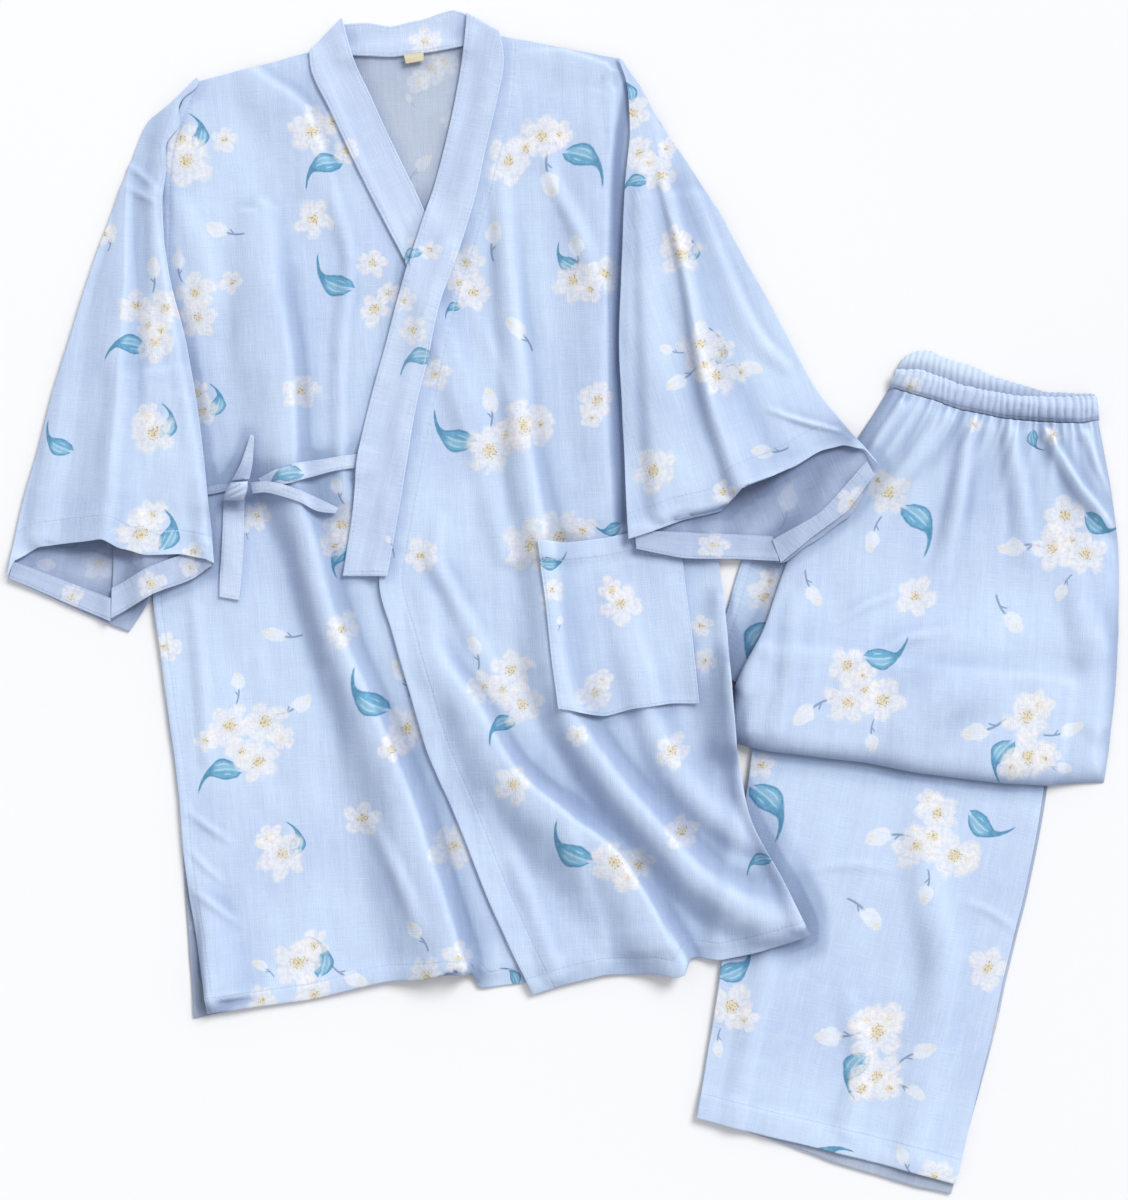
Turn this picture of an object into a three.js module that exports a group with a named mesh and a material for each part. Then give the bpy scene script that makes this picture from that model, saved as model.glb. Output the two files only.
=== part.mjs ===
// Kimono pajama set laid flat: a wrap-front top with its ties knotted, and elastic-waist pants
// folded lengthwise and then in three, lying half under the top's right sleeve and side.
// Millimetres. +Z is up, +Y points to the neck, and the cloth rests on z = 0. The origin is the
// middle of the set's footprint.
//
// Each piece of cloth is a wall over a grid of its own: a table gives the ends of its cross
// lines from top to hem, and the wall settles on whatever already lies below it.
import * as THREE from 'three';

// ---- driving dimensions (mm) ----
const CLOTH = 1.2;        // gauze wall
const FACED = 1.6;        // wall with its hem turned in
const BAND = 2.4;         // collar: the band and its seam allowances
const CASING = 3.4;       // ruched elastic casing
const TIE = 1.8;          // tie strip, folded and stitched
const KNOT_HEIGHT = 7;    // tie knot above the front
const LEG_FOLDED = 2.8;   // lower leg's hidden plies
const GAP = 0.35;         // between pieces that lie on each other
const SEAM = 0.4;         // between pieces that meet edge to edge
const CELL = 5;           // height field cell
const SAG = 0.03;         // curvature of unsupported cloth, 1/mm
const CORE_UPPER = 6.5;   // hidden folded pants layers near the waist
const CORE_LOWER = 12;    // the same where the pants are folded in three
const CORE_ROUND = 9;     // width of the rounded edge of those layers

// ---- small helpers ----
const table = (columns, ...rows) => {
  const keys = columns.split(' ');
  return rows.map((row) => Object.fromEntries(keys.map((key, i) => [key, row[i]])));
};
const clamp = (x, low, high) => Math.min(high, Math.max(low, x));
const smooth = (x) => { const t = clamp(x, 0, 1); return t * t * (3 - 2 * t); };

// ---- outlines: lx, ly and rx, ry are the left and right ends of each cross line ----
const TOP_BACK = {
  rows: table('lx ly rx ry',
    [-290.5, 399.5, 45.2, 420.3], [-304.4, 364, 70.6, 367.9], [-309, 233.1, 88.3, 233.1], [-315.2, 117.6, 106.8, 125.3],
    [-318.3, 2.1, 122.9, 2.1], [-311.3, -40.2, 128.3, -44.1], [-305.2, -92.6, 133, -101.8], [-298.2, -145.7, 139.9, -148.8],
    [-294.4, -198.1, 155.3, -190.4], [-289, -272, 179.2, -232.7], [-285.9, -321.3, 188.4, -252.7]),
  top: table('s drop', [0, 0], [0.28, -10.8], [0.5, -10.8], [0.7, -20], [0.78, -16.9], [1, 0]),
  hem: table('s drop', [0, 0], [0.2, -6.2], [0.45, -10], [0.7, -7.7], [1, 0]),
};
const FRONT_UNDER = {
  rows: table('lx ly rx ry',
    [-289, 401, -195.8, 425.6], [-307.5, 348.6, -162.7, 344], [-310.6, 265.5, -122.7, 265.5], [-312.9, 156.1, -79.6, 160],
    [-317.5, 4.5, -43.4, 21.4], [-311.3, -40.2, -33.4, -28.7], [-304.4, -92.6, -19.5, -84.1], [-297.5, -145.7, -6.4, -140.3],
    [-293.6, -195.7, 6.7, -190.4], [-282.8, -264.3, 22.1, -240.4], [-275.1, -317.4, 31.3, -276.6]),
  hem: table('s drop', [0, 0], [0.25, 0], [0.45, -6.2], [0.6, -4.6], [0.665, -3.9], [0.69, 9.2], [0.8, 9.2], [0.9, 4.6], [1, 0]),
};
const FRONT_OVER = {
  rows: table('lx ly rx ry',
    [-54.2, 439.5, 45.2, 420.3], [-57.2, 391, 65.2, 377.9], [-69.6, 337.1, 74.4, 325.5], [-85.7, 280.9, 81.4, 279.3],
    [-101.9, 229.3, 89.1, 229.3], [-115, 169.2, 99.1, 171.5], [-128.1, 102.2, 112.2, 94.5], [-139.6, 36, 120.6, 29.1],
    [-141.9, 13.7, 123.7, 3.7], [-132.7, -21.7, 126.8, -28.7], [-119.6, -67.2, 129.9, -68.7], [-105.7, -113.4, 133.7, -113.4],
    [-79.6, -175, 145.3, -168.8], [-53.4, -240.4, 169.1, -213.5], [-23.4, -302.8, 190.7, -256.6]),
  hem: table('s drop', [0, 0], [0.12, -2.3], [0.25, -3.1], [0.42, 3.1], [0.52, 10], [0.545, 9.2], [0.57, -2.3], [0.68, 4.6], [0.78, 4.6], [1, 0]),
};
const COLLAR_UNDER = {
  rows: table('lx ly rx ry',
    [-196.6, 425.6, -171.2, 452.6], [-194.3, 408.7, -162.7, 422.6], [-179.7, 378.7, -148.9, 391.8], [-162, 340.9, -131.9, 354.8],
    [-141.2, 299.4, -111.9, 313.2], [-121.9, 262.4, -95, 276.3], [-102.7, 216.2, -74.9, 230.1], [-79.6, 156.1, -48.8, 167.7],
    [-59.5, 94.5, -28, 103.8], [-44.1, 36, -12.6, 43.7]),
};
const COLLAR_OVER = {
  rows: table('lx ly rx ry',
    [-74.9, 455.7, -49.5, 441.8], [-77.3, 429.5, -45.7, 419.5], [-82.6, 396.4, -50.3, 391.8], [-90.3, 360.2, -59.5, 351.7],
    [-99.6, 324, -68, 312.5], [-113.4, 281.7, -81.1, 270.1], [-127.3, 237, -95, 230.8], [-138.9, 194.6, -104.2, 188.5],
    [-150.4, 152.3, -114.2, 146.9], [-158.9, 113.8, -120.4, 109.9], [-162.7, 73, -126.5, 71.4], [-170.4, 20.6, -135.8, 20.6]),
};
const COLLAR_BACK = {
  rows: table('lx ly rx ry',
    [-179.7, 448.7, -65.7, 453.4], [-172, 422.6, -68.8, 431]),
  top: table('s drop', [0, 1.5], [0.2, 0.8], [0.4, 4.6], [0.6, 0.8], [0.85, -5.4], [1, 0]),
  hem: table('s drop', [0, 0], [0.4, 3.9], [0.65, 3.1], [1, 0]),
};
const SIZE_LABEL = {
  rows: table('lx ly rx ry',
    [-123.5, 423.3, -108.1, 424.9], [-121.9, 416.4, -108.1, 418.7]),
};
const SLEEVE_LEFT_FRONT = {
  rows: table('lx ly rx ry',
    [-282.8, 405.6, -279.8, 403.3], [-302.1, 387.1, -296.7, 384.1], [-312.1, 379.4, -299, 368.7], [-322.1, 371, -310.6, 354.8],
    [-333.7, 343.3, -309.8, 330.2], [-346.8, 307.8, -309, 300.9], [-366.8, 252.4, -303.6, 252.4], [-384.5, 194.6, -290.5, 198.5],
    [-396.8, 156.1, -282.8, 154.6], [-407.6, 113.8, -276.7, 108.4], [-419.1, 73, -272.8, 69.9], [-429.9, 19.9, -269, 30.6]),
  hem: table('s drop', [0, 0], [0.04, -12.3], [0.16, -21.6], [0.34, -23.1], [0.465, -23.9], [0.56, -15.4], [0.68, -9.2], [0.83, -8.5], [0.95, -3.9], [1, 0]),
};
const SLEEVE_LEFT_BACK = {
  rows: table('lx ly rx ry',
    [-339.8, 317.8, -309, 313.2], [-364.5, 250.1, -304.4, 250.1], [-394.5, 154.6, -296.7, 154.6], [-416.8, 73, -301.3, 63.7],
    [-426.1, 34.5, -316.7, 8.3], [-429.1, 19.1, -336, -22.5]),
  hem: table('s drop', [0, 0], [0.5, 0.8], [0.85, 0.8], [1, 0]),
};
const SLEEVE_LEFT_UNDERARM = {
  rows: table('lx ly rx ry',
    [-338.3, 171.5, -290.5, 177.7], [-344.4, 109.9, -277.5, 105.3], [-347.5, 44.5, -272.1, 65.3], [-349.8, -13.3, -269, 29.9]),
  hem: table('s drop', [0, 0], [0.4, -2.3], [0.8, 2.3], [1, 0]),
};
const CUFF_HEM_LEFT_BACK = {
  rows: table('lx ly rx ry',
    [-425.3, 32.2, -351.4, 3.7], [-428.4, 19.9, -351.4, -13.3]),
};
const CUFF_HEM_LEFT_UNDERARM = {
  rows: table('lx ly rx ry',
    [-347.5, 11.4, -275.1, 44.5], [-347.9, -10.2, -270.5, 30.6]),
  top: table('s drop', [0, 0], [0.4, -3.1], [1, 0]),
  hem: table('s drop', [0, 0], [0.4, -2.3], [0.8, 2.3], [1, 0]),
};
const SLEEVE_RIGHT_FRONT = {
  rows: table('lx ly rx ry',
    [42.1, 421, 45.9, 418.7], [48.3, 402.5, 57.5, 401], [50.6, 382.5, 69, 381], [51.3, 362.5, 80.6, 362.5],
    [48.3, 328.6, 102.2, 330.9], [45.9, 290.1, 122.9, 297.1], [44.4, 248.5, 145.3, 256.2], [42.9, 198.5, 171.5, 209.3],
    [45.2, 150, 193.8, 167.7], [47.5, 102.2, 217.7, 136.9], [49.8, 49.1, 241.5, 106.9]),
  hem: table('s drop', [0, 0], [0.06, 0], [0.22, -1.5], [0.37, 0], [0.43, -7.7], [0.455, -12.3], [0.53, -13.9], [0.66, -16.9], [0.78, -23.1], [0.86, -22.3], [0.94, -14.6], [1, 0]),
};
const SLEEVE_RIGHT_BACK = {
  rows: table('lx ly rx ry',
    [59, 310.1, 109.9, 313.2], [52.9, 248.5, 142.2, 254.7], [51.3, 198.5, 166.8, 207.7], [52.9, 150, 189.9, 165.4],
    [51.3, 102.2, 215.3, 134.6], [51.3, 49.1, 240, 104.6]),
  hem: table('s drop', [0, 0], [0.03, 6.9], [0.11, 18.5], [0.32, 32.3], [0.49, 43.1], [0.63, 53.1], [0.74, 44.7], [0.89, 33.1], [0.97, 15.4], [1, 0]),
};
const CUFF_HEM_RIGHT_BACK = {
  rows: table('lx ly rx ry',
    [63.7, 56, 159.1, 51.4], [65.2, 39.1, 163.8, 32.2]),
  hem: table('s drop', [0, 0], [0.3, 3.1], [0.7, 0.8], [1, 0]),
};
const CUFF_HEM_RIGHT_SIDE = {
  rows: table('lx ly rx ry',
    [163.8, 48.3, 233.1, 108.4], [169.1, 32.2, 238.4, 99.2]),
  top: table('s drop', [0, 0], [0.5, 7.7], [1, 0]),
  hem: table('s drop', [0, 0], [0.3, 1.5], [0.7, 6.9], [1, 0]),
};
const POCKET = {
  rows: table('lx ly rx ry',
    [-20.3, 48.3, 89.8, 58.4], [-14.9, 8.3, 94.5, 11.4], [-9.5, -41, 100.6, -36.4], [-4.1, -81.8, 105.2, -77.9]),
  top: table('s drop', [0, 0], [0.21, 3.9], [0.45, 3.1], [0.66, 0.8], [1, 0]),
  hem: table('s drop', [0, 0], [0.33, 6.9], [0.57, 1.5], [0.8, -0.8], [1, 0]),
};
const TIE_OVER = {
  rows: table('lx ly rx ry',
    [-151.9, 116.1, -153.5, 104.6], [-182, 111.5, -177.4, 101.5], [-206.6, 106.9, -198.1, 95.3], [-221.2, 102.2, -210.5, 91.5],
    [-235.1, 95.3, -232, 89.2]),
};
const TIE_UNDER = {
  rows: table('lx ly rx ry',
    [-256.7, 91.5, -257.4, 86.8], [-265.9, 91.5, -266.7, 84.5], [-274.4, 89.2, -275.1, 83], [-287.5, 87.6, -287.5, 80.7]),
};
const TIE_KNOT = {
  rows: table('lx ly rx ry',
    [-255.9, 92.2, -242, 93], [-259.7, 86.1, -242.8, 86.1], [-262.1, 78.4, -245.9, 78.4]),
};
const TIE_TAIL_UP = {
  rows: table('lx ly rx ry',
    [-241.3, 129.2, -238.2, 128.4], [-245.9, 115.3, -239, 116.1], [-249.7, 104.6, -239.7, 105.3], [-255.1, 93.8, -241.3, 94.5]),
};
const TIE_TAIL_DOWN = {
  rows: table('lx ly rx ry',
    [-262.1, 78.4, -245.9, 79.9], [-263.6, 52.2, -246.7, 52.2], [-265.1, 22.9, -248.2, 22.9], [-265.9, 4.5, -250.5, 2.1]),
};
const TIE_TAIL_RIGHT = {
  rows: table('lx ly rx ry',
    [-239, 83.8, -241.3, 92.2], [-228.9, 84.5, -230.5, 93], [-215.9, 81.5, -218.2, 91.5], [-202, 76.8, -202, 86.1],
    [-189.7, 70.7, -187.4, 79.9], [-175.8, 69.1, -173.5, 73]),
};
const WAISTBAND_BACK = {
  rows: table('lx ly rx ry',
    [256.9, 193.1, 410.9, 161.5], [252.3, 177.7, 414, 146.9]),
  top: table('s drop', [0, 6.2], [0.03, 1.5], [0.1, -4.6], [0.16, -6.9], [0.24, -3.9], [0.37, -2.3], [0.5, 3.1], [0.63, 4.6], [0.75, 6.2], [0.88, 3.1], [1, 0]),
  hem: table('s drop', [0, 0], [0.3, 6.2], [0.6, 6.2], [1, 0]),
};
const WAISTBAND_FRONT = {
  rows: table('lx ly rx ry',
    [256.9, 180, 411.7, 159.2], [252.3, 165.4, 414, 140]),
  top: table('s drop', [0, 0], [0.12, -2.3], [0.21, 0.8], [0.33, 5.4], [0.45, 6.9], [0.6, 7.7], [0.75, 5.4], [1, 0]),
  hem: table('s drop', [0, 0], [0.18, 3.9], [0.33, 8.5], [0.43, 9.2], [0.54, 10], [0.66, 8.5], [0.79, 6.9], [0.9, 4.6], [1, 0]),
};
const PANTS_UPPER = {
  rows: table('lx ly rx ry',
    [252.3, 165.4, 414, 140], [231.5, 132.3, 418.6, 116.1], [199.2, 86.8, 424, 86.1], [173, 32.2, 429.4, 40.6],
    [155.3, -17.1, 429.4, -13.3], [133.7, -60.2, 427.1, -67.2], [123.7, -107.2, 418.6, -138.8]),
  top: table('s drop', [0, 0], [0.18, 3.9], [0.33, 8.5], [0.43, 9.2], [0.54, 10], [0.66, 8.5], [0.79, 6.9], [0.9, 4.6], [1, 0]),
  hem: table('s drop', [0, 0], [0.12, 3.9], [0.36, 4.6], [0.52, 8.5], [0.7, 9.2], [0.84, 7.7], [1, 0]),
};
const PANTS_CORE = {
  rows: table('lx ly rx ry',
    [258.5, 160.8, 410.9, 137.7], [237.7, 128.4, 414.8, 114.6], [208.4, 85.3, 419.4, 86.1], [180.7, 31.4, 424.8, 40.6],
    [162.2, -17.1, 424.8, -13.3], [142.2, -59.5, 422.5, -67.2], [131.4, -104.1, 415.5, -134.1]),
  top: table('s drop', [0, 0], [0.33, 6.9], [0.54, 8.5], [0.79, 5.4], [1, 0]),
  hem: table('s drop', [0, 0], [0.12, 3.9], [0.36, 4.6], [0.52, 8.5], [0.7, 9.2], [0.84, 7.7], [1, 0]),
};
const PANTS_SEAT = {
  rows: table('lx ly rx ry',
    [174.5, 102.2, 228.4, 102.2], [138.3, 32.9, 182.2, 31.4], [126, -7.1, 162.2, -14.8], [111.4, -50.2, 143.7, -67.2]),
};
const LEG_FRONT = {
  rows: table('lx ly rx ry',
    [149.9, -40.2, 384, -67.2], [146, -111.8, 372.4, -136.5], [140.7, -151.9, 367.8, -167.3], [133, -205.8, 357.8, -217.3],
    [122.9, -275.1, 343.2, -276.6], [112.9, -340.5, 330.1, -336.7], [102.9, -398.3, 303.1, -449.1]),
  hem: table('s drop', [0, 0], [0.25, 0], [0.5, -0.8], [0.75, -0.8], [1, 0]),
};
const LEG_BACK = {
  rows: table('lx ly rx ry',
    [152.2, -40.2, 387.1, -67.2], [149.1, -111.8, 375.5, -136.5], [143.7, -151.9, 370.9, -167.3], [136, -205.8, 360.9, -217.3],
    [126, -275.1, 346.2, -276.6], [116, -340.5, 332.4, -338.2], [105.2, -396.7, 300, -457.5]),
  hem: table('s drop', [0, 0], [0.3, 1.5], [0.6, 3.9], [0.85, 3.1], [1, 0]),
};

// ---- folds: x and y of the start, middle and end of each ridge, its heights there, and its reach ----
const FRONT_UNDER_FOLDS = table('x0 y0 x1 y1 x2 y2 h0 h1 h2 left right',
  [-179.7, 271.6, -185.8, 32.9, -125.8, -228.9, 2, 5, 3, 26, 22],
  [-135.8, -99.5, -110.4, -163.4, -68.8, -294.3, 2, 8, 13, 36, 10],
  [-275.9, 133, -285.2, -44.1, -275.1, -228.9, 1, 4, 3, 18, 18],
  [-232, 394.8, -227.4, 294.7, -232, 171.5, 1, 3, 1, 16, 16],
  [-252, -28.7, -232, -151.9, -202.8, -294.3, 1, 4, 5, 20, 22]);
const FRONT_OVER_FOLDS = table('x0 y0 x1 y1 x2 y2 h0 h1 h2 left right',
  [-48.8, 271.6, -34.9, 117.6, -1, -13.3, 2, 5, 2, 16, 18],
  [-71.9, -74.9, -1, -151.9, 97.5, -286.6, 2, 9, 14, 12, 26],
  [2.1, -84.1, 47.5, -159.6, 122.2, -267.4, 2, 8, 10, 11, 24],
  [63.7, -101.8, 114.5, -163.4, 159.1, -213.5, 2, 6, 8, 11, 22],
  [35.9, 325.5, 28.2, 171.5, 20.5, 63.7, 1, 4, 1, 22, 22],
  [-83.4, -28.7, -56.5, -121.1, -2.6, -252, 1, 4, 3, 18, 18]);
const SLEEVE_LEFT_FOLDS = table('x0 y0 x1 y1 x2 y2 h0 h1 h2 left right',
  [-327.5, 298.6, -342.9, 156.1, -355.2, 21.4, 2, 13, 21, 74, 80],
  [-306.7, 340.9, -326, 317.8, -345.2, 283.2, 2, 3, 1, 12, 12]);
const SLEEVE_RIGHT_FOLDS = table('x0 y0 x1 y1 x2 y2 h0 h1 h2 left right',
  [66.7, 367.9, 100.6, 210, 137.6, 79.1, 2, 13, 21, 82, 88],
  [105.2, 321.7, 155.3, 233.1, 197.6, 148.4, 2, 6, 4, 26, 26]);
const PANTS_UPPER_FOLDS = table('x0 y0 x1 y1 x2 y2 h0 h1 h2 left right',
  [278.5, 152.3, 236.1, 32.9, 182.2, -67.2, 3, 6, 2, 24, 24],
  [311.6, 140.7, 286.2, 25.2, 263.1, -90.3, 3, 5, 2, 20, 22],
  [343.9, 136.9, 336.2, 32.9, 343.9, -74.9, 3, 5, 2, 22, 20],
  [376.3, 131.5, 401.7, 86.8, 427.1, 44.5, 4, 5, 2, 12, 14],
  [261.5, 157.7, 243.8, 117.6, 230, 79.1, 3, 4, 1, 12, 12],
  [205.3, -98, 282.3, -74.9, 382.4, -109.5, 1, 3, 2, 26, 26]);
const LEG_FOLDS = table('x0 y0 x1 y1 x2 y2 h0 h1 h2 left right',
  [220.7, -144.2, 211.5, -252, 191.5, -398.3, 2, 4, 3, 34, 30],
  [305.4, -151.9, 286.2, -275.1, 259.2, -421.4, 2, 4, 5, 30, 32],
  [157.6, -228.9, 143.7, -305.9, 132.2, -398.3, 1, 3, 2, 22, 22]);

// ---- interpolation ----
// Hermite curve through values at given stations, with slopes from their neighbours.
function curveThrough(at, values, t) {
  const last = at.length - 1;
  let i = 0;
  while (i < last - 1 && t > at[i + 1]) i += 1;
  const slope = (k) => {
    if (k === 0) return (values[1] - values[0]) / (at[1] - at[0]);
    if (k === last) return (values[last] - values[last - 1]) / (at[last] - at[last - 1]);
    return 0.5 * ((values[k + 1] - values[k]) / (at[k + 1] - at[k]) + (values[k] - values[k - 1]) / (at[k] - at[k - 1]));
  };
  const span = at[i + 1] - at[i];
  const x = clamp((t - at[i]) / span, 0, 1);
  const a = 2 * x ** 3 - 3 * x ** 2 + 1;
  const b = x ** 3 - 2 * x ** 2 + x;
  const c = -2 * x ** 3 + 3 * x ** 2;
  const d = x ** 3 - x ** 2;
  return a * values[i] + b * span * slope(i) + c * values[i + 1] + d * span * slope(i + 1);
}

function profileAt(profile, s) {
  if (!profile) return 0;
  for (let i = 1; i < profile.length; i += 1) {
    if (s <= profile[i].s) {
      const x = (s - profile[i - 1].s) / (profile[i].s - profile[i - 1].s);
      return profile[i - 1].drop + (profile[i].drop - profile[i - 1].drop) * smooth(x) * 0.5
        + (profile[i].drop - profile[i - 1].drop) * x * 0.5;
    }
  }
  return profile[profile.length - 1].drop;
}

// A point of a piece: u from its left to its right edge, v from its top to its hem.
function outline(shape, { reach = 0.22 } = {}) {
  const { rows } = shape;
  const at = [0];
  for (let i = 1; i < rows.length; i += 1) {
    const a = rows[i - 1];
    const b = rows[i];
    at.push(at[i - 1] + 0.5 * (Math.hypot(b.lx - a.lx, b.ly - a.ly) + Math.hypot(b.rx - a.rx, b.ry - a.ry)));
  }
  const length = at[at.length - 1];
  const stations = at.map((x) => x / length);
  const column = (key) => rows.map((row) => row[key]);
  const [lx, ly, rx, ry] = ['lx', 'ly', 'rx', 'ry'].map(column);
  return (u, v) => {
    const ax = curveThrough(stations, lx, v);
    const ay = curveThrough(stations, ly, v);
    const bx = curveThrough(stations, rx, v);
    const by = curveThrough(stations, ry, v);
    const fromTop = reach >= 1 ? 1 - v : smooth(1 - v / reach);
    const fromHem = reach >= 1 ? v : smooth((v - 1 + reach) / reach);
    const drop = profileAt(shape.top, u) * fromTop + profileAt(shape.hem, u) * fromHem;
    return [ax + (bx - ax) * u, ay + (by - ay) * u - drop];
  };
}

// ---- folds: ridges along bent paths ----
// left and right are how far the ridge reaches on each side of its direction of travel.
function foldHeights(folds, crisp) {
  const lines = folds.map((fold) => {
    const points = [];
    for (let i = 0; i <= 16; i += 1) {
      const t = i / 16;
      // the mid point lies on the path
      const mx = 2 * fold.x1 - 0.5 * (fold.x0 + fold.x2);
      const my = 2 * fold.y1 - 0.5 * (fold.y0 + fold.y2);
      points.push([
        (1 - t) ** 2 * fold.x0 + 2 * t * (1 - t) * mx + t * t * fold.x2,
        (1 - t) ** 2 * fold.y0 + 2 * t * (1 - t) * my + t * t * fold.y2]);
    }
    return { fold, points };
  });
  return (x, y) => {
    let height = 0;
    for (const { fold, points } of lines) {
      let best = Infinity;
      let side = 1;
      let along = 0;
      for (let i = 1; i < points.length; i += 1) {
        const [ax, ay] = points[i - 1];
        const [bx, by] = points[i];
        const dx = bx - ax;
        const dy = by - ay;
        const t = clamp(((x - ax) * dx + (y - ay) * dy) / (dx * dx + dy * dy), 0, 1);
        const px = x - ax - t * dx;
        const py = y - ay - t * dy;
        const distance = Math.hypot(px, py);
        if (distance < best) {
          best = distance;
          side = dx * py - dy * px;
          along = (i - 1 + t) / (points.length - 1);
        }
      }
      const reach = side >= 0 ? fold.left : fold.right;
      if (best >= reach) continue;
      const peak = fold.h0 * (1 - along) * (1 - 2 * along) + fold.h1 * 4 * along * (1 - along) + fold.h2 * along * (2 * along - 1);
      const across = best / reach;
      height += Math.max(0, peak) * (crisp ? 1 - across : 0.5 + 0.5 * Math.cos(Math.PI * across));
    }
    return height;
  };
}

// ---- the height of what already lies there, cell by cell ----
const FIELD = { x0: -460, y0: -490, nx: 185, ny: 197 };
const cells = FIELD.nx * FIELD.ny;
const laid = [];          // one field for each piece: { name, top }
const cellOf = (x, y) => {
  const i = clamp(Math.round((x - FIELD.x0) / CELL), 1, FIELD.nx - 2);
  const j = clamp(Math.round((y - FIELD.y0) / CELL), 1, FIELD.ny - 2);
  return j * FIELD.nx + i;
};

// The lowest height allowed over each cell, with the neighbouring cells counted in.
function clearance(beside) {
  const highest = new Float64Array(cells);
  for (const piece of laid) {
    if (beside.includes(piece.name)) continue;
    for (let k = 0; k < cells; k += 1) highest[k] = Math.max(highest[k], piece.top[k]);
  }
  const spread = new Float64Array(cells);
  for (let j = 1; j < FIELD.ny - 1; j += 1) {
    for (let i = 1; i < FIELD.nx - 1; i += 1) {
      const k = j * FIELD.nx + i;
      let high = 0;
      for (let b = -1; b <= 1; b += 1) for (let a = -1; a <= 1; a += 1) high = Math.max(high, highest[k + b * FIELD.nx + a]);
      spread[k] = high > 0 ? high + GAP + 0.1 : 0;
    }
  }
  return spread;
}

// Cloth laid on that field: it follows the highest points and sags softly beside them.
function settle(floor, place, steps) {
  const inside = new Uint8Array(cells);
  for (let a = 0; a <= 80; a += 1) {
    for (let b = 0; b <= 120; b += 1) {
      const [x, y] = place(a / 80, b / 120);
      const k = cellOf(x, y);
      inside[k] = 1;
      for (const d of [-1, 1, -FIELD.nx, FIELD.nx]) inside[k + d] = 1;
    }
  }
  const list = [];
  for (let k = 0; k < cells; k += 1) if (inside[k]) list.push(k);
  const height = Float64Array.from(floor);
  const fall = SAG * CELL * CELL / 4;
  for (let step = 0; step < steps; step += 1) {
    for (const k of list) {
      let sum = 0;
      for (const d of [-1, 1, -FIELD.nx, FIELD.nx]) sum += inside[k + d] ? height[k + d] : height[k];
      height[k] = Math.max(floor[k], sum / 4 - fall);
    }
  }
  return (x, y) => {
    const fx = clamp((x - FIELD.x0) / CELL, 1, FIELD.nx - 2.001);
    const fy = clamp((y - FIELD.y0) / CELL, 1, FIELD.ny - 2.001);
    const i = Math.floor(fx);
    const j = Math.floor(fy);
    const k = j * FIELD.nx + i;
    const s = fx - i;
    const t = fy - j;
    return (height[k] * (1 - s) + height[k + 1] * s) * (1 - t) + (height[k + FIELD.nx] * (1 - s) + height[k + FIELD.nx + 1] * s) * t;
  };
}

// Visits points inside a triangle about 2.5 mm apart, with their weights.
function overTriangle(a, b, c, visit) {
  const longest = Math.max(Math.hypot(b[0] - a[0], b[1] - a[1]), Math.hypot(c[0] - a[0], c[1] - a[1]), Math.hypot(c[0] - b[0], c[1] - b[1]));
  const n = Math.max(2, Math.ceil(longest / 2.5));
  for (let i = 0; i <= n; i += 1) {
    for (let j = 0; j <= n - i; j += 1) {
      const p = i / n;
      const q = j / n;
      visit(p, q, 1 - p - q);
    }
  }
}

// ---- one piece of cloth as a closed wall ----
const set = new THREE.Group();

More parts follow.
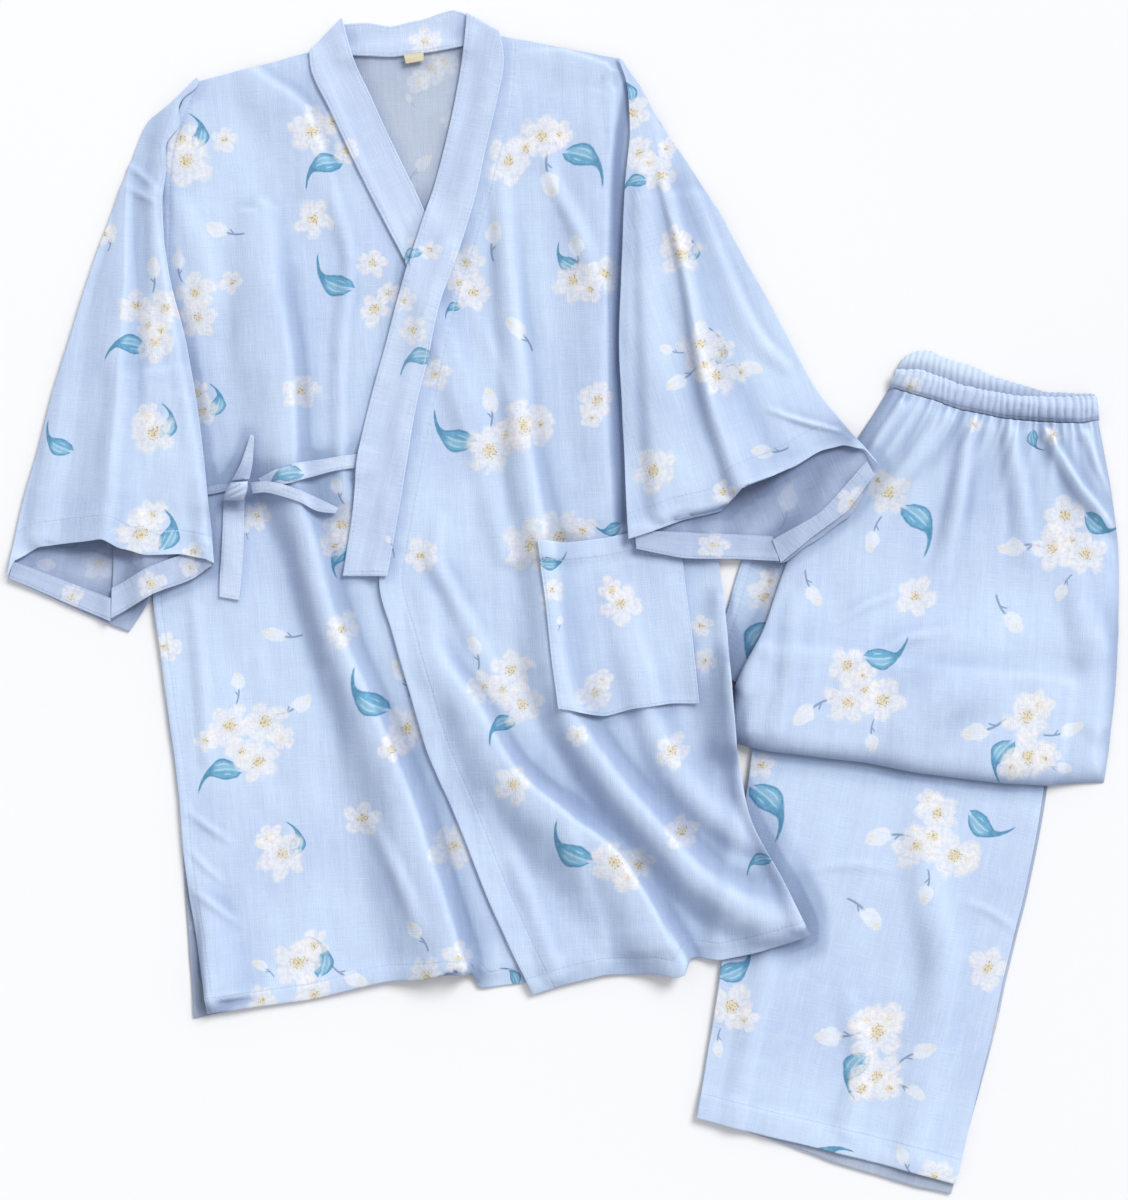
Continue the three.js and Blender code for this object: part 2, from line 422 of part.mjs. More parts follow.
function addCloth(name, shape, options) {
  const { nu, nv, wall = CLOTH, color, folds = [], creases = [], lift = null, reach = 0.22, thick = null, beside = [], even = true, inset = null } = options;
  const place = outline(shape, { reach });
  const step = (k, n) => (even ? k / n : 0.5 * (k / n) + 0.5 * (0.5 - 0.5 * Math.cos(Math.PI * k / n)));
  const floor = clearance(beside);
  const under = settle(floor, place, 90);
  const soft = foldHeights(folds, false);
  const crisp = foldHeights(creases, true);
  const low = [];
  const id = (i, j) => j * (nu + 1) + i;
  for (let j = 0; j <= nv; j += 1) {
    for (let i = 0; i <= nu; i += 1) {
      const u = step(i, nu);
      const v = step(j, nv);
      let [x, y] = place(u, v);
      if (inset) [x, y] = inset(x, y, u, v);
      const raised = soft(x, y) + crisp(x, y) + (lift ? lift(u, v, x, y) : 0);
      low.push([x, y, under(x, y) + raised]);
    }
  }
  const faces = [];
  for (let j = 0; j < nv; j += 1) {
    for (let i = 0; i < nu; i += 1) {
      const a = id(i, j);
      const b = id(i + 1, j);
      const c = id(i + 1, j + 1);
      const d = id(i, j + 1);
      if ((i + j) % 2) faces.push([a, d, b], [b, d, c]);
      else faces.push([a, d, c], [a, c, b]);
    }
  }
  // raise the corners of any triangle that would cut what lies below
  for (let pass = 0; pass < 60; pass += 1) {
    let worst = 0;
    for (const [a, b, c] of faces) {
      const [A, B, C] = [low[a], low[b], low[c]];
      overTriangle(A, B, C, (p, q, r) => {
        const x = p * A[0] + q * B[0] + r * C[0];
        const y = p * A[1] + q * B[1] + r * C[1];
        const need = floor[cellOf(x, y)] - (p * A[2] + q * B[2] + r * C[2]);
        if (need > 0.01) {
          const share = need / (p * p + q * q + r * r);
          A[2] += share * p;
          B[2] += share * q;
          C[2] += share * r;
          worst = Math.max(worst, need);
        }
      });
    }
    if (worst < 0.02) break;
  }
  const high = low.map(([x, y, z], k) => {
    const i = k % (nu + 1);
    const j = (k - i) / (nu + 1);
    return [x, y, z + (thick ? thick(step(i, nu), step(j, nv), x, y) : wall)];
  });
  const count = low.length;
  const triangles = [];
  for (const [a, b, c] of faces) triangles.push([a + count, b + count, c + count], [a, c, b]);
  const rim = [];
  for (let j = 0; j < nv; j += 1) rim.push(id(0, j));
  for (let i = 0; i < nu; i += 1) rim.push(id(i, nv));
  for (let j = nv; j > 0; j -= 1) rim.push(id(nu, j));
  for (let i = nu; i > 0; i -= 1) rim.push(id(i, 0));
  rim.forEach((a, k) => {
    const b = rim[(k + 1) % rim.length];
    triangles.push([a, b, b + count], [a, b + count, a + count]);
  });
  const geometry = new THREE.BufferGeometry();
  geometry.setAttribute('position', new THREE.Float32BufferAttribute([...low, ...high].flat(), 3));
  geometry.setIndex(triangles.flat());
  const mesh = new THREE.Mesh(geometry, new THREE.MeshStandardMaterial({ color, roughness: 0.9, metalness: 0 }));
  mesh.name = name;
  set.add(mesh);
  const top = new Float64Array(cells);
  for (const [a, b, c] of faces) {
    const [A, B, C] = [high[a], high[b], high[c]];
    overTriangle(A, B, C, (p, q, r) => {
      const k = cellOf(p * A[0] + q * B[0] + r * C[0], p * A[1] + q * B[1] + r * C[1]);
      top[k] = Math.max(top[k], p * A[2] + q * B[2] + r * C[2]);
    });
  }
  laid.push({ name, top });
}

// ---- colours ----
const PALE = 0xc4d3ee;    // right side of the cloth
const INSIDE = 0xb9c6d6;  // wrong side, seen in the neck and cuffs
const LIGHT = 0xd6e2f6;   // bands and ties
const LABEL = 0xe6dcb8;

// ---- pants: lower leg, hidden layers, seat, waistband, upper leg ----
addCloth('leg_back', LEG_BACK, { nu: 6, nv: 9, wall: LEG_FOLDED, color: INSIDE });
addCloth('leg_front', LEG_FRONT, { nu: 9, nv: 12, color: PALE, folds: LEG_FOLDS });

const coreEdge = (u, v, x, y) => {
  const row = outline(PANTS_CORE)(0, v);
  const far = outline(PANTS_CORE)(1, v);
  const width = Math.hypot(far[0] - row[0], far[1] - row[1]);
  const top = outline(PANTS_CORE)(u, 0);
  const bottom = outline(PANTS_CORE)(u, 1);
  const height = Math.hypot(bottom[0] - top[0], bottom[1] - top[1]);
  return Math.min(Math.min(u, 1 - u) * width, Math.min(v, 1 - v) * height);
};
addCloth('pants_core', PANTS_CORE, {
  nu: 10, nv: 11, color: INSIDE, even: false,
  thick: (u, v, x, y) => {
    const full = CORE_UPPER + (CORE_LOWER - CORE_UPPER) * smooth((y - 10) / -60) - LEG_FOLDED * smooth((y + 30) / -20);
    const e = clamp(coreEdge(u, v, x, y) / CORE_ROUND, 0, 1);
    return 0.9 + (full - 0.9) * Math.sqrt(1 - (1 - e) ** 2);
  },
});
addCloth('pants_seat', PANTS_SEAT, { nu: 3, nv: 6, wall: FACED, color: PALE, reach: 1 });
addCloth('waistband_back', WAISTBAND_BACK, { nu: 16, nv: 2, wall: CASING, color: LIGHT, reach: 1,
  lift: (u) => 0.7 + 0.7 * Math.cos(u * 16 * Math.PI) });
addCloth('pants_upper', PANTS_UPPER, { nu: 16, nv: 13, color: PALE, folds: PANTS_UPPER_FOLDS });
addCloth('waistband_front', WAISTBAND_FRONT, { nu: 16, nv: 2, wall: CASING, color: LIGHT, reach: 1, beside: ['pants_upper'],
  lift: (u) => 0.9 + 0.9 * Math.cos(u * 16 * Math.PI),
  inset: (x, y, u, v) => [x, y + SEAM * v] });

// ---- top: back, right front and neck ----
addCloth('top_back', TOP_BACK, { nu: 8, nv: 15, color: INSIDE });
addCloth('collar_back', COLLAR_BACK, { nu: 8, nv: 2, wall: BAND, color: LIGHT, reach: 1 });
addCloth('size_label', SIZE_LABEL, { nu: 1, nv: 1, wall: 0.6, color: LABEL, reach: 1 });
addCloth('front_under', FRONT_UNDER, { nu: 11, nv: 18, color: PALE, folds: FRONT_UNDER_FOLDS });
addCloth('collar_under', COLLAR_UNDER, { nu: 2, nv: 16, wall: BAND, color: LIGHT });

// ---- ties on the right front ----
addCloth('tie_under', TIE_UNDER, { nu: 1, nv: 4, wall: TIE, color: LIGHT });
addCloth('tie_over', TIE_OVER, { nu: 2, nv: 8, wall: TIE, color: LIGHT });
addCloth('tie_tail_down', TIE_TAIL_DOWN, { nu: 2, nv: 6, wall: TIE, color: LIGHT });
addCloth('tie_tail_right', TIE_TAIL_RIGHT, { nu: 2, nv: 8, wall: TIE, color: LIGHT });
addCloth('tie_tail_up', TIE_TAIL_UP, { nu: 2, nv: 5, wall: TIE, color: LIGHT });
addCloth('tie_knot', TIE_KNOT, { nu: 4, nv: 4, color: LIGHT, even: false,
  thick: (u, v) => 1.2 + (KNOT_HEIGHT - 1.2) * Math.sqrt(Math.max(0, 1 - (2 * u - 1) ** 2)) * Math.sqrt(Math.max(0, 1 - (2 * v - 1) ** 2)) });

// ---- left front with its pocket and collar ----
addCloth('front_over', FRONT_OVER, { nu: 13, nv: 22, color: PALE, folds: FRONT_OVER_FOLDS });
addCloth('pocket', POCKET, { nu: 5, nv: 6, wall: FACED, color: PALE, reach: 1 });
addCloth('collar_over', COLLAR_OVER, { nu: 2, nv: 19, wall: BAND, color: LIGHT });

// ---- sleeves: the stretch on the floor, the stretch folded back, the hems turned in, the front ----
addCloth('sleeve_left_back', SLEEVE_LEFT_BACK, { nu: 5, nv: 8, color: INSIDE });
addCloth('sleeve_left_underarm', SLEEVE_LEFT_UNDERARM, { nu: 4, nv: 6, color: INSIDE });
addCloth('cuff_hem_left_back', CUFF_HEM_LEFT_BACK, { nu: 6, nv: 1, color: PALE, reach: 1 });
addCloth('cuff_hem_left_underarm', CUFF_HEM_LEFT_UNDERARM, { nu: 6, nv: 1, color: PALE, reach: 1, beside: ['cuff_hem_left_back'] });
addCloth('sleeve_left_front', SLEEVE_LEFT_FRONT, { nu: 10, nv: 17, color: PALE, folds: SLEEVE_LEFT_FOLDS.slice(1), creases: SLEEVE_LEFT_FOLDS.slice(0, 1) });
addCloth('sleeve_right_back', SLEEVE_RIGHT_BACK, { nu: 8, nv: 9, color: INSIDE });
addCloth('cuff_hem_right_back', CUFF_HEM_RIGHT_BACK, { nu: 6, nv: 1, color: PALE, reach: 1 });
addCloth('cuff_hem_right_side', CUFF_HEM_RIGHT_SIDE, { nu: 6, nv: 1, color: PALE, reach: 1, beside: ['cuff_hem_right_back'] });
addCloth('sleeve_right_front', SLEEVE_RIGHT_FRONT, { nu: 10, nv: 15, color: PALE, folds: SLEEVE_RIGHT_FOLDS.slice(1), creases: SLEEVE_RIGHT_FOLDS.slice(0, 1) });

export default set;
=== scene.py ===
import math

import bpy
import numpy as np
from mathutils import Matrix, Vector


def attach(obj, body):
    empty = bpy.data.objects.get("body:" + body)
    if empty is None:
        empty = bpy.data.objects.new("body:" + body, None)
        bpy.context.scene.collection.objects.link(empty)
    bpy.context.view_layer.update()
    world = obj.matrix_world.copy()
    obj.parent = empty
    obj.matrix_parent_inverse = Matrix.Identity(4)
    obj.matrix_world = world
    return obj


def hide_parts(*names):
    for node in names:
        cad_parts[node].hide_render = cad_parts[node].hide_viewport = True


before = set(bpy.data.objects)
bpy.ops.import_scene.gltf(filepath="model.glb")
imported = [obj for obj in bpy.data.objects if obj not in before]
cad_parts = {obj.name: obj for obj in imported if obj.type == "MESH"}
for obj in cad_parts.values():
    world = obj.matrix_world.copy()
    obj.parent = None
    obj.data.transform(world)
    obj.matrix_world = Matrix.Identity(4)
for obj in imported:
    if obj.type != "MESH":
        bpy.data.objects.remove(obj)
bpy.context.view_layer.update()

# ---- sizes (mm) ----
WALL = 0.8  # gauze, with its crinkle
HEMMED = 0.7  # added where a hem is turned in
BAND = 1.9  # collar band
CASING = 2.4  # elastic casing
TIE = 1.5
LEG_FOLDED = 2.8  # lower leg's hidden plies
GAP = 0.5  # between layers
CELL = 2.5  # height field cell
SAG = 0.03  # curvature of unsupported cloth, 1/mm
SETTLE_STEPS = 330
CORE_UPPER = 6.5  # hidden folded pants layers near the waist
CORE_LOWER = 12  # the same where the pants are folded in three
CORE_ROUND = 9
CORE_INSET = 5  # the hidden layers stop short of the folds
RUCHES = 29  # across the front of the elastic casing
KNOT_HEIGHT = 7
SEAM_DEPTH = 2.2  # how far cloth sinks where a sleeve is set in


def table(columns, *rows):
    return [dict(zip(columns.split(), row)) for row in rows]


# ---- outlines: lx, ly and rx, ry are the left and right ends of each cross line ----
TOP_BACK = dict(
    rows=table("lx ly rx ry",
        (-290.5, 399.5, 45.2, 420.3), (-304.4, 364, 70.6, 367.9), (-309, 233.1, 88.3, 233.1), (-315.2, 117.6, 106.8, 125.3),
        (-318.3, 2.1, 122.9, 2.1), (-311.3, -40.2, 128.3, -44.1), (-305.2, -92.6, 133, -101.8), (-298.2, -145.7, 139.9, -148.8),
        (-294.4, -198.1, 155.3, -190.4), (-289, -272, 179.2, -232.7), (-285.9, -321.3, 188.4, -252.7)),
    top=table("s drop", (0, 0), (0.28, -10.8), (0.5, -10.8), (0.7, -20), (0.78, -16.9), (1, 0)),
    hem=table("s drop", (0, 0), (0.2, -6.2), (0.45, -10), (0.7, -7.7), (1, 0)),
)
FRONT_UNDER = dict(
    rows=table("lx ly rx ry",
        (-289, 401, -195.8, 425.6), (-307.5, 348.6, -162.7, 344), (-310.6, 265.5, -122.7, 265.5), (-312.9, 156.1, -79.6, 160),
        (-317.5, 4.5, -43.4, 21.4), (-311.3, -40.2, -33.4, -28.7), (-304.4, -92.6, -19.5, -84.1), (-297.5, -145.7, -6.4, -140.3),
        (-293.6, -195.7, 6.7, -190.4), (-282.8, -264.3, 22.1, -240.4), (-275.1, -317.4, 31.3, -276.6)),
    hem=table("s drop", (0, 0), (0.25, 0), (0.45, -6.2), (0.6, -4.6), (0.665, -3.9), (0.69, 9.2), (0.8, 9.2), (0.9, 4.6), (1, 0)),
)
FRONT_OVER = dict(
    rows=table("lx ly rx ry",
        (-54.2, 439.5, 45.2, 420.3), (-57.2, 391, 65.2, 377.9), (-69.6, 337.1, 74.4, 325.5), (-85.7, 280.9, 81.4, 279.3),
        (-101.9, 229.3, 89.1, 229.3), (-115, 169.2, 99.1, 171.5), (-128.1, 102.2, 112.2, 94.5), (-139.6, 36, 120.6, 29.1),
        (-141.9, 13.7, 123.7, 3.7), (-132.7, -21.7, 126.8, -28.7), (-119.6, -67.2, 129.9, -68.7), (-105.7, -113.4, 133.7, -113.4),
        (-79.6, -175, 145.3, -168.8), (-53.4, -240.4, 169.1, -213.5), (-23.4, -302.8, 190.7, -256.6)),
    hem=table("s drop", (0, 0), (0.12, -2.3), (0.25, -3.1), (0.42, 3.1), (0.52, 10), (0.545, 9.2), (0.57, -2.3), (0.68, 4.6), (0.78, 4.6), (1, 0)),
)
COLLAR_UNDER = dict(
    rows=table("lx ly rx ry",
        (-196.6, 425.6, -171.2, 452.6), (-194.3, 408.7, -162.7, 422.6), (-179.7, 378.7, -148.9, 391.8), (-162, 340.9, -131.9, 354.8),
        (-141.2, 299.4, -111.9, 313.2), (-121.9, 262.4, -95, 276.3), (-102.7, 216.2, -74.9, 230.1), (-79.6, 156.1, -48.8, 167.7),
        (-59.5, 94.5, -28, 103.8), (-44.1, 36, -12.6, 43.7)),
)
COLLAR_OVER = dict(
    rows=table("lx ly rx ry",
        (-74.9, 455.7, -49.5, 441.8), (-77.3, 429.5, -45.7, 419.5), (-82.6, 396.4, -50.3, 391.8), (-90.3, 360.2, -59.5, 351.7),
        (-99.6, 324, -68, 312.5), (-113.4, 281.7, -81.1, 270.1), (-127.3, 237, -95, 230.8), (-138.9, 194.6, -104.2, 188.5),
        (-150.4, 152.3, -114.2, 146.9), (-158.9, 113.8, -120.4, 109.9), (-162.7, 73, -126.5, 71.4), (-170.4, 20.6, -135.8, 20.6)),
)
COLLAR_BACK = dict(
    rows=table("lx ly rx ry",
        (-179.7, 448.7, -65.7, 453.4), (-172, 422.6, -68.8, 431)),
    top=table("s drop", (0, 1.5), (0.2, 0.8), (0.4, 4.6), (0.6, 0.8), (0.85, -5.4), (1, 0)),
    hem=table("s drop", (0, 0), (0.4, 3.9), (0.65, 3.1), (1, 0)),
)
SIZE_LABEL = dict(
    rows=table("lx ly rx ry",
        (-123.5, 423.3, -108.1, 424.9), (-121.9, 416.4, -108.1, 418.7)),
)
SLEEVE_LEFT_FRONT = dict(
    rows=table("lx ly rx ry",
        (-282.8, 405.6, -279.8, 403.3), (-302.1, 387.1, -296.7, 384.1), (-312.1, 379.4, -299, 368.7), (-322.1, 371, -310.6, 354.8),
        (-333.7, 343.3, -309.8, 330.2), (-346.8, 307.8, -309, 300.9), (-366.8, 252.4, -303.6, 252.4), (-384.5, 194.6, -290.5, 198.5),
        (-396.8, 156.1, -282.8, 154.6), (-407.6, 113.8, -276.7, 108.4), (-419.1, 73, -272.8, 69.9), (-429.9, 19.9, -269, 30.6)),
    hem=table("s drop", (0, 0), (0.04, -12.3), (0.16, -21.6), (0.34, -23.1), (0.465, -23.9), (0.56, -15.4), (0.68, -9.2), (0.83, -8.5), (0.95, -3.9), (1, 0)),
)
SLEEVE_LEFT_BACK = dict(
    rows=table("lx ly rx ry",
        (-339.8, 317.8, -309, 313.2), (-364.5, 250.1, -304.4, 250.1), (-394.5, 154.6, -296.7, 154.6), (-416.8, 73, -301.3, 63.7),
        (-426.1, 34.5, -316.7, 8.3), (-429.1, 19.1, -336, -22.5)),
    hem=table("s drop", (0, 0), (0.5, 0.8), (0.85, 0.8), (1, 0)),
)
SLEEVE_LEFT_UNDERARM = dict(
    rows=table("lx ly rx ry",
        (-338.3, 171.5, -290.5, 177.7), (-344.4, 109.9, -277.5, 105.3), (-347.5, 44.5, -272.1, 65.3), (-349.8, -13.3, -269, 29.9)),
    hem=table("s drop", (0, 0), (0.4, -2.3), (0.8, 2.3), (1, 0)),
)
CUFF_HEM_LEFT_BACK = dict(
    rows=table("lx ly rx ry",
        (-425.3, 32.2, -351.4, 3.7), (-428.4, 19.9, -351.4, -13.3)),
)
CUFF_HEM_LEFT_UNDERARM = dict(
    rows=table("lx ly rx ry",
        (-347.5, 11.4, -275.1, 44.5), (-347.9, -10.2, -270.5, 30.6)),
    top=table("s drop", (0, 0), (0.4, -3.1), (1, 0)),
    hem=table("s drop", (0, 0), (0.4, -2.3), (0.8, 2.3), (1, 0)),
)
SLEEVE_RIGHT_FRONT = dict(
    rows=table("lx ly rx ry",
        (42.1, 421, 45.9, 418.7), (48.3, 402.5, 57.5, 401), (50.6, 382.5, 69, 381), (51.3, 362.5, 80.6, 362.5),
        (48.3, 328.6, 102.2, 330.9), (45.9, 290.1, 122.9, 297.1), (44.4, 248.5, 145.3, 256.2), (42.9, 198.5, 171.5, 209.3),
        (45.2, 150, 193.8, 167.7), (47.5, 102.2, 217.7, 136.9), (49.8, 49.1, 241.5, 106.9)),
    hem=table("s drop", (0, 0), (0.06, 0), (0.22, -1.5), (0.37, 0), (0.43, -7.7), (0.455, -12.3), (0.53, -13.9), (0.66, -16.9), (0.78, -23.1), (0.86, -22.3), (0.94, -14.6), (1, 0)),
)
SLEEVE_RIGHT_BACK = dict(
    rows=table("lx ly rx ry",
        (59, 310.1, 109.9, 313.2), (52.9, 248.5, 142.2, 254.7), (51.3, 198.5, 166.8, 207.7), (52.9, 150, 189.9, 165.4),
        (51.3, 102.2, 215.3, 134.6), (51.3, 49.1, 240, 104.6)),
    hem=table("s drop", (0, 0), (0.03, 6.9), (0.11, 18.5), (0.32, 32.3), (0.49, 43.1), (0.63, 53.1), (0.74, 44.7), (0.89, 33.1), (0.97, 15.4), (1, 0)),
)
CUFF_HEM_RIGHT_BACK = dict(
    rows=table("lx ly rx ry",
        (63.7, 56, 159.1, 51.4), (65.2, 39.1, 163.8, 32.2)),
    hem=table("s drop", (0, 0), (0.3, 3.1), (0.7, 0.8), (1, 0)),
)
CUFF_HEM_RIGHT_SIDE = dict(
    rows=table("lx ly rx ry",
        (163.8, 48.3, 233.1, 108.4), (169.1, 32.2, 238.4, 99.2)),
    top=table("s drop", (0, 0), (0.5, 7.7), (1, 0)),
    hem=table("s drop", (0, 0), (0.3, 1.5), (0.7, 6.9), (1, 0)),
)
POCKET = dict(
    rows=table("lx ly rx ry",
        (-20.3, 48.3, 89.8, 58.4), (-14.9, 8.3, 94.5, 11.4), (-9.5, -41, 100.6, -36.4), (-4.1, -81.8, 105.2, -77.9)),
    top=table("s drop", (0, 0), (0.21, 3.9), (0.45, 3.1), (0.66, 0.8), (1, 0)),
    hem=table("s drop", (0, 0), (0.33, 6.9), (0.57, 1.5), (0.8, -0.8), (1, 0)),
)
TIE_OVER = dict(
    rows=table("lx ly rx ry",
        (-151.9, 116.1, -153.5, 104.6), (-182, 111.5, -177.4, 101.5), (-206.6, 106.9, -198.1, 95.3), (-221.2, 102.2, -210.5, 91.5),
        (-235.1, 95.3, -232, 89.2)),
)
TIE_UNDER = dict(
    rows=table("lx ly rx ry",
        (-256.7, 91.5, -257.4, 86.8), (-265.9, 91.5, -266.7, 84.5), (-274.4, 89.2, -275.1, 83), (-287.5, 87.6, -287.5, 80.7)),
)
TIE_KNOT = dict(
    rows=table("lx ly rx ry",
        (-255.9, 92.2, -242, 93), (-259.7, 86.1, -242.8, 86.1), (-262.1, 78.4, -245.9, 78.4)),
)
TIE_TAIL_UP = dict(
    rows=table("lx ly rx ry",
        (-241.3, 129.2, -238.2, 128.4), (-245.9, 115.3, -239, 116.1), (-249.7, 104.6, -239.7, 105.3), (-255.1, 93.8, -241.3, 94.5)),
)
TIE_TAIL_DOWN = dict(
    rows=table("lx ly rx ry",
        (-262.1, 78.4, -245.9, 79.9), (-263.6, 52.2, -246.7, 52.2), (-265.1, 22.9, -248.2, 22.9), (-265.9, 4.5, -250.5, 2.1)),
)
TIE_TAIL_RIGHT = dict(
    rows=table("lx ly rx ry",
        (-239, 83.8, -241.3, 92.2), (-228.9, 84.5, -230.5, 93), (-215.9, 81.5, -218.2, 91.5), (-202, 76.8, -202, 86.1),
        (-189.7, 70.7, -187.4, 79.9), (-175.8, 69.1, -173.5, 73)),
)
WAISTBAND_BACK = dict(
    rows=table("lx ly rx ry",
        (256.9, 193.1, 410.9, 161.5), (252.3, 177.7, 414, 146.9)),
    top=table("s drop", (0, 6.2), (0.03, 1.5), (0.1, -4.6), (0.16, -6.9), (0.24, -3.9), (0.37, -2.3), (0.5, 3.1), (0.63, 4.6), (0.75, 6.2), (0.88, 3.1), (1, 0)),
    hem=table("s drop", (0, 0), (0.3, 6.2), (0.6, 6.2), (1, 0)),
)
WAISTBAND_FRONT = dict(
    rows=table("lx ly rx ry",
        (256.9, 180, 411.7, 159.2), (252.3, 165.4, 414, 140)),
    top=table("s drop", (0, 0), (0.12, -2.3), (0.21, 0.8), (0.33, 5.4), (0.45, 6.9), (0.6, 7.7), (0.75, 5.4), (1, 0)),
    hem=table("s drop", (0, 0), (0.18, 3.9), (0.33, 8.5), (0.43, 9.2), (0.54, 10), (0.66, 8.5), (0.79, 6.9), (0.9, 4.6), (1, 0)),
)
PANTS_UPPER = dict(
    rows=table("lx ly rx ry",
        (252.3, 165.4, 414, 140), (231.5, 132.3, 418.6, 116.1), (199.2, 86.8, 424, 86.1), (173, 32.2, 429.4, 40.6),
        (155.3, -17.1, 429.4, -13.3), (133.7, -60.2, 427.1, -67.2), (123.7, -107.2, 418.6, -138.8)),
    top=table("s drop", (0, 0), (0.18, 3.9), (0.33, 8.5), (0.43, 9.2), (0.54, 10), (0.66, 8.5), (0.79, 6.9), (0.9, 4.6), (1, 0)),
    hem=table("s drop", (0, 0), (0.12, 3.9), (0.36, 4.6), (0.52, 8.5), (0.7, 9.2), (0.84, 7.7), (1, 0)),
)
PANTS_CORE = dict(
    rows=table("lx ly rx ry",
        (258.5, 160.8, 410.9, 137.7), (237.7, 128.4, 414.8, 114.6), (208.4, 85.3, 419.4, 86.1), (180.7, 31.4, 424.8, 40.6),
        (162.2, -17.1, 424.8, -13.3), (142.2, -59.5, 422.5, -67.2), (131.4, -104.1, 415.5, -134.1)),
    top=table("s drop", (0, 0), (0.33, 6.9), (0.54, 8.5), (0.79, 5.4), (1, 0)),
    hem=table("s drop", (0, 0), (0.12, 3.9), (0.36, 4.6), (0.52, 8.5), (0.7, 9.2), (0.84, 7.7), (1, 0)),
)
PANTS_SEAT = dict(
    rows=table("lx ly rx ry",
        (174.5, 102.2, 228.4, 102.2), (138.3, 32.9, 182.2, 31.4), (126, -7.1, 162.2, -14.8), (111.4, -50.2, 143.7, -67.2)),
)
LEG_FRONT = dict(
    rows=table("lx ly rx ry",
        (149.9, -40.2, 384, -67.2), (146, -111.8, 372.4, -136.5), (140.7, -151.9, 367.8, -167.3), (133, -205.8, 357.8, -217.3),
        (122.9, -275.1, 343.2, -276.6), (112.9, -340.5, 330.1, -336.7), (102.9, -398.3, 303.1, -449.1)),
    hem=table("s drop", (0, 0), (0.25, 0), (0.5, -0.8), (0.75, -0.8), (1, 0)),
)
LEG_BACK = dict(
    rows=table("lx ly rx ry",
        (152.2, -40.2, 387.1, -67.2), (149.1, -111.8, 375.5, -136.5), (143.7, -151.9, 370.9, -167.3), (136, -205.8, 360.9, -217.3),
        (126, -275.1, 346.2, -276.6), (116, -340.5, 332.4, -338.2), (105.2, -396.7, 300, -457.5)),
    hem=table("s drop", (0, 0), (0.3, 1.5), (0.6, 3.9), (0.85, 3.1), (1, 0)),
)

# ---- folds: each is a ridge of cloth along a path, with its height and its reach on the path's left and right ----
FRONT_UNDER_FOLDS = [
    table("x y h left right", (-232, 305.5, 3.5, 16, 30), (-224.3, 239.3, 8, 18, 44), (-213.5, 188.5, 11, 14, 52), (-208.2, 111.5, 11.5, 12, 46), (-196.6, 48.3, 12, 16, 26), (-179.7, -13.3, 12.5, 18, 26), (-155, -68.7, 13, 14, 34), (-124.2, -140.3, 14.5, 14, 46), (-102.7, -202.7, 15, 14, 60), (-77.3, -281.2, 16, 12, 66)),
    table("x y h left right", (-178.1, 314, 1, 9, 9), (-165.8, 263.9, 3.5, 9, 9), (-170.4, 213.9, 3.5, 8, 10), (-172, 125.3, 3, 8, 10), (-168.1, 79.1, 1.5, 8, 8)),
    table("x y h left right", (-147.3, -167.3, 1, 9, 9), (-121.9, -221.2, 2.6, 9, 9), (-110.4, -252, 0.5, 9, 9)),
    table("x y h left right", (-285.9, -1.7, 1, 8, 8), (-279, -59.5, 3, 9, 9), (-275.9, -121.1, 1.5, 9, 9)),
    table("x y h left right", (-283.6, -205.8, 1, 18, 8), (-275.9, -252, 6, 34, 8), (-272.1, -305.9, 9, 46, 10)),
    table("x y h left right", (-290.5, -161.1, 0.6, 4, 4), (-275.9, -171.9, 2.6, 4, 4), (-256.7, -185.7, 0.5, 4, 4)),
    table("x y h left right", (-289, -190.4, 0.6, 4, 4), (-275.9, -204.2, 2.4, 4, 4), (-261.3, -216.5, 0.4, 4, 4)),
    table("x y h left right", (-287.5, -219.6, 0.6, 4, 4), (-270.5, -232.7, 2.8, 4, 5), (-249, -248.9, 0.4, 4, 4)),
    table("x y h left right", (-250.5, 416.4, 1, 9, 14), (-227.4, 399.5, 4, 10, 40), (-204.3, 383.3, 5, 10, 60), (-188.9, 348.6, 4, 9, 56), (-175.8, 310.1, 1, 8, 30)),
    table("x y h left right", (-306.7, 325.5, 0.5, 10, 10), (-279.8, 271.6, 2.5, 16, 16), (-268.2, 210, 1, 14, 14)),
]
